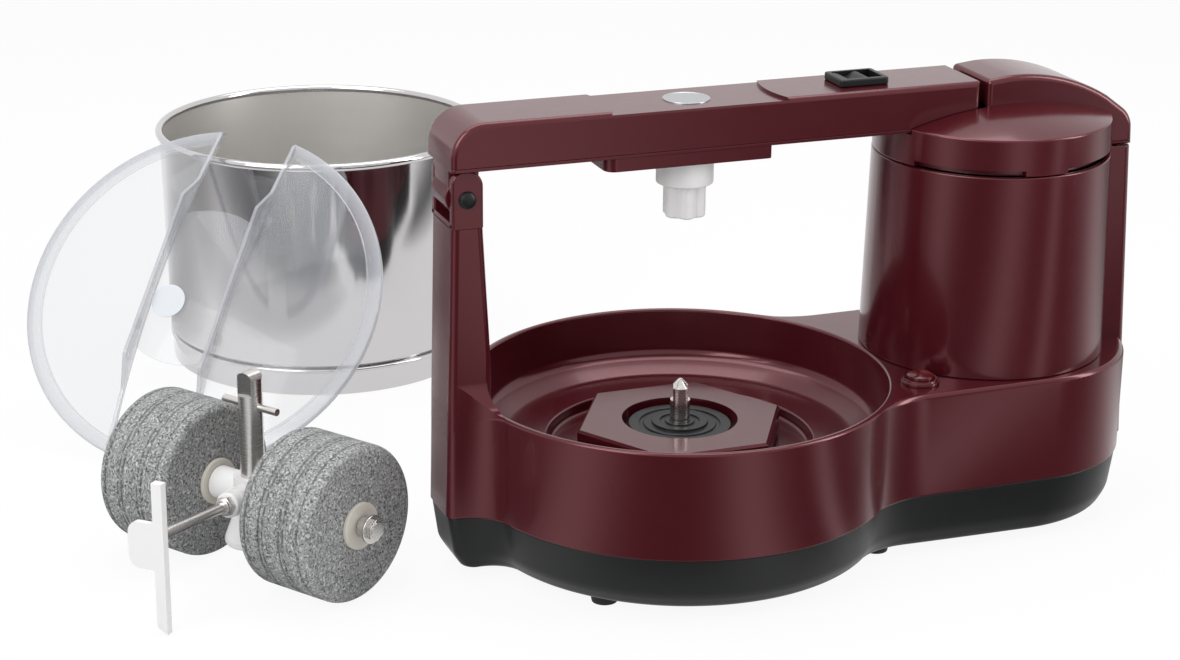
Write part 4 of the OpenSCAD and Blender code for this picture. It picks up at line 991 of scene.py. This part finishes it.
# Clear lid, in its own directions: across the channel, along it and out of its face
LID_R, LID_RISE, LID_T, BRIM, SKIRT = 123.0, 18.0, 2.5, 9.0, 4.5
SLOT, WINDOW_R, FLANGE_H, FLANGE_T = 26.0, 56.0, 7.0, 2.2
LEAN, FACING, SLEW = np.radians([42.0, -124.5, -6.0])
LID_OUT = np.array([np.cos(LEAN) * np.cos(FACING), np.cos(LEAN) * np.sin(FACING), np.sin(LEAN)])
LID_SIDE = np.array([-np.sin(FACING), np.cos(FACING), 0.0])
LID_UP = np.cross(LID_OUT, LID_SIDE)
LID_X = LID_SIDE * np.cos(SLEW) + LID_UP * np.sin(SLEW)
LID_Y = LID_UP * np.cos(SLEW) - LID_SIDE * np.sin(SLEW)
LOW_TURN = np.arcsin(SLOT / LID_R) - abs(SLEW)
LID_AT = corners_of("lid_panel")[0] + LID_R * np.sqrt(1 - LID_OUT ** 2)
LID_AT[2] = LID_R * np.cos(LOW_TURN) * np.cos(LEAN) + SKIRT * np.sin(LEAN)
DISH_R = ((LID_R - BRIM) ** 2 + LID_RISE ** 2) / (2 * LID_RISE)


def on_lid(x, y, z):
    """Points in the lid's own directions."""
    x, y, z = np.broadcast_arrays(x, y, z)
    return x[..., None] * LID_X + y[..., None] * LID_Y + z[..., None] * LID_OUT + LID_AT


def dish(radius):
    """Height of the lid's face: a shallow dome inside a flat brim."""
    inside = np.minimum(radius, LID_R - BRIM)
    return LID_RISE - DISH_R + np.sqrt(DISH_R ** 2 - inside ** 2)


def lid_halves(form):
    """Two domed halves with a brim and a lip, marked along their creases and rims for painted edge lines."""
    limit = np.arccos(SLOT / LID_R)
    angle = np.linspace(-limit, limit, 121)
    start = SLOT / np.cos(angle)
    share = np.hstack([np.linspace(0, 0.98, 13), 0.988, 0.994, 1])[:, None]
    edge_r = LID_R - BRIM - 0.5
    face = start + (np.maximum(edge_r, start) - start) * share
    lip = rounded([(edge_r, 0), (LID_R, 0), (LID_R, -SKIRT), (LID_R - 2.5, -SKIRT), (LID_R - 2.5, -LID_T),
                   (edge_r, -LID_T)], (0, 1.0, 0.4, 0.4, 0.6, 0), 4, closed=False)
    radius = np.vstack([face, np.maximum(lip[:, :1], start), face[::-1]])
    height = np.vstack([dish(face), lip[:, 1:] + 0 * angle, dish(face[::-1]) - LID_T])
    # Marks for painted edge lines: the creases and the lip's outer rim are made more opaque
    crease = np.hstack([np.zeros(13), 0.1, 0.8, 0.9])
    band = np.where(lip[:, 0] > LID_R - 1.5, 1.0, 0.35)
    mark = np.hstack([crease, band, crease[::-1]])[:, None]
    for side in (1, -1):
        form.grid(on_lid(side * radius * np.cos(angle), radius * np.sin(angle), height), True, False, mark)


def lid_channel(form):
    """The panel between the halves, and a flange with two small lugs along each half."""
    across = np.linspace(-SLOT, SLOT, 21)[:, None]
    along = np.linspace(-1, 1, 31)[None] * np.sqrt(WINDOW_R ** 2 - across ** 2)
    top = dish(np.hypot(across, along))
    form.stack(np.hstack([on_lid(across, along, top), on_lid(across, along, top - LID_T)[:, ::-1]]))
    reach = np.linspace(-1, 1, 121)[:, None] * np.sqrt((LID_R - 2) ** 2 - SLOT ** 2)
    crest = np.interp(abs(reach), [0, WINDOW_R + 3, WINDOW_R + 22, LID_R - 4],
                      [LID_RISE + FLANGE_H, LID_RISE + FLANGE_H, LID_RISE - 8, 1.0])
    foot = dish(np.hypot(reach, SLOT)) - LID_T
    level = np.hstack([foot, foot, crest, crest])
    outer = SLOT + FLANGE_T
    for side in (1, -1):
        strip = on_lid(side * np.array([SLOT, outer, outer, SLOT])[None], reach, level)
        # The flange's marks give it painted edge lines, strongest along its crest and ends
        form.grid(strip, False, True, np.array([0.15, 0.15, 0.6, 0.6]))
        form.flat(strip[0], 0.5).flat(strip[-1], 0.5)
        low, high = sorted((side * (outer - 0.5), side * (outer + 2.5)))
        for place in (-38.0, 40.0):
            lug = rectangle(place, place + 7, LID_RISE - 4, LID_RISE + 2)
            form.slab(lug, 1.0, low, high, 0.6, (LID_Y, LID_OUT, LID_X, LID_AT))


lid_form = Form()
lid_halves(lid_form)
lid_channel(lid_form)
piece("lid", lid_form, "lid_panel", angle=50)


# CAD nodes that keep their shape: a finish, joined seams and slightly rounded edges
EDGE = {"hex_coupling": 1.0, "roller_hub": 1.0}
LOOKS = {"left_bush": "bush_nylon", "right_bush": "bush_nylon"}
for node_name, node_part in frame["nodes"].items():
    dress(node_part, SLOTS[node_name], LOOKS.get(node_name))
    if node_part.hide_render:
        continue
    weld = node_part.modifiers.new("weld", "WELD")
    weld.merge_threshold = 1e-6
    soften(node_part, EDGE.get(node_name, 0.4), 2)
    even_normals(node_part)


# Camera of the photo: its turns in degrees, its place from the spindle and its lens in pixels
CAMERA_TURNS = (-20.55, -18.99, 0.49)
CAMERA_AT = (-573.4, -1373.7, 645.3)
FOCAL, PHOTO_W, SENSOR = 2632.08, 1180, 36.0
# Dark card: its first and last direction and soft ends in degrees, then each gap's middle, width and share
CARD_FROM, CARD_TO, CARD_END = -228, 42, 16
CARD_GAPS = ((-156, 17, 1.0), (-82, 13, 1.0), (-46, 5, 1.0), (-2, 16, 1.0), (-212, 9, 0.6))
# Fan of the card beside the drum: its middle and width in degrees
FAN_AT, FAN_W = 150, 70


def camera():
    """Camera with the photo's place, aim, roll and lens."""
    azimuth, pitch, roll = np.radians(CAMERA_TURNS)
    ahead = np.array([-np.sin(azimuth) * np.cos(pitch), np.cos(azimuth) * np.cos(pitch), np.sin(pitch)])
    level = unit(np.cross(ahead, [0, 0, 1]))
    up = np.cross(level, ahead)
    data = bpy.data.cameras.new("camera")
    data.sensor_width = SENSOR
    data.lens = FOCAL * SENSOR / PHOTO_W
    data.clip_end = 100
    turn = np.eye(4)
    turn[:3, 0] = level * np.cos(roll) + up * np.sin(roll)
    turn[:3, 1] = up * np.cos(roll) - level * np.sin(roll)
    turn[:3, 2] = -ahead
    turn[:3, 3] = (np.array(CAMERA_AT) + AXIS) * MM
    view = show("camera", data)
    view.matrix_world = Matrix(turn.tolist())
    SCENE.camera = view


def light(name, place, target, size, power):
    """A rectangular soft light at a place, facing a target, all in metres and watts."""
    data = bpy.data.lights.new(name, "AREA")
    data.shape = "RECTANGLE"
    data.size, data.size_y = size
    data.energy = power
    lamp = show(name, data)
    lamp.location = place
    aim = Vector(target) - Vector(place)
    lamp.rotation_euler = aim.to_track_quat("-Z", "Y").to_euler()


def floor():
    """A wide white floor that stays white to the eye and still takes the shadow."""
    half, level = 12.0, -0.0004
    mesh = bpy.data.meshes.new("floor")
    mesh.from_pydata([(x, y, level) for x, y in rectangle(-half, half, -half, half)], [], [(0, 1, 2, 3)])
    part = show("floor", mesh)
    finish = Finish("floor", (0.8, 0.8, 0.8), 0.9, Specular_IOR_Level=0.1)
    glow = finish.node("Emission", inputs={"Color": (1, 1, 1, 1), "Strength": 1.0})
    finish.blend(direct_rays(finish.tree) * 0.92, finish.shader.outputs[0], glow)
    mesh.materials.append(finish.material)


def dark_card():
    """A dark card on the floor before the machine that only reflections see, with lighter gaps.

    It follows the base's outline, and soft gaps in five directions give the gloss bright and dark bands.
    A narrow upright sheet beside the post and a faint fan on the floor beside the drum belong to it.
    """
    turn = np.radians(np.linspace(CARD_FROM, CARD_TO, 271))
    degrees = np.degrees(turn)
    gaps = sum(share * np.exp(-((degrees - at) / width) ** 2) for at, width, share in CARD_GAPS)
    ends = np.clip((CARD_TO - degrees) / CARD_END, 0, 1) * np.clip((degrees - CARD_FROM) / CARD_END, 0, 1)
    share = np.array([0, 0.01, 0.03, 1])[:, None]
    reach = plan(turn, 0) * (1 - share) + share * 2400 + 12
    dark = np.clip(1 - gaps, 0, 1) * ends * np.array([0, 0.6, 1, 1])[:, None]
    form = Form().grid(round_plan(turn, reach, 0.2), mark=dark)
    along, up = np.meshgrid([30.0, 45.0, 75.0, 90.0], [20.0, 260.0], indexing="ij")
    sheet = np.stack([0 * along - POST_X - 22, along, up], -1)
    form.grid(sheet, mark=np.array([0, 0.7, 0.7, 0])[:, None])
    degrees = np.linspace(FAN_AT - FAN_W / 2, FAN_AT + FAN_W / 2, 36)[:, None]
    fan = round_plan(np.radians(degrees), np.array([122.0, 180.0, 800.0, 1100.0]), 0.6) + DRUM
    form.grid(fan, mark=np.cos(np.pi * (degrees - FAN_AT) / FAN_W) * np.array([0.3, 0.6, 0.6, 0]))
    part = show("dark_card", form.mesh("dark_card"))
    finish = Finish("dark_card", (0.02, 0.02, 0.02), 1.0, Specular_IOR_Level=0.0)
    finish.blend(finish.marked() * 0.93, finish.node("BsdfTransparent"), finish.shader.outputs[0])
    part.data.materials.append(finish.material)
    for ray in ("camera", "diffuse", "transmission", "volume_scatter", "shadow"):
        setattr(part, "visible_" + ray, False)


def surroundings():
    """White to the eye and in reflections, and an even studio grey as light."""
    world = bpy.data.worlds.new("studio")
    SCENE.world = world
    world.use_nodes = True
    tree = world.node_tree
    tone = tree.nodes.new("ShaderNodeMix")
    tone.data_type = "RGBA"
    tone.inputs[6].default_value = (0.42, 0.42, 0.42, 1)
    tone.inputs[7].default_value = (1, 1, 1, 1)
    tree.links.new(direct_rays(tree).socket, tone.inputs[0])
    tree.links.new(tone.outputs[2], tree.nodes["Background"].inputs["Color"])


SCENE.view_settings.view_transform = "Standard"
camera()
floor()
surroundings()
dark_card()
light("left box", (-1.5, -1.0, 1.3), (0.0, -0.1, 0.1), (1.2, 1.4), 24)
light("right strip", (1.3, -0.9, 0.7), (0.2, -0.2, 0.15), (0.4, 1.4), 12)
light("top box", (0.0, 0.2, 1.9), (0.0, 0.0, 0.1), (2.0, 1.4), 24)
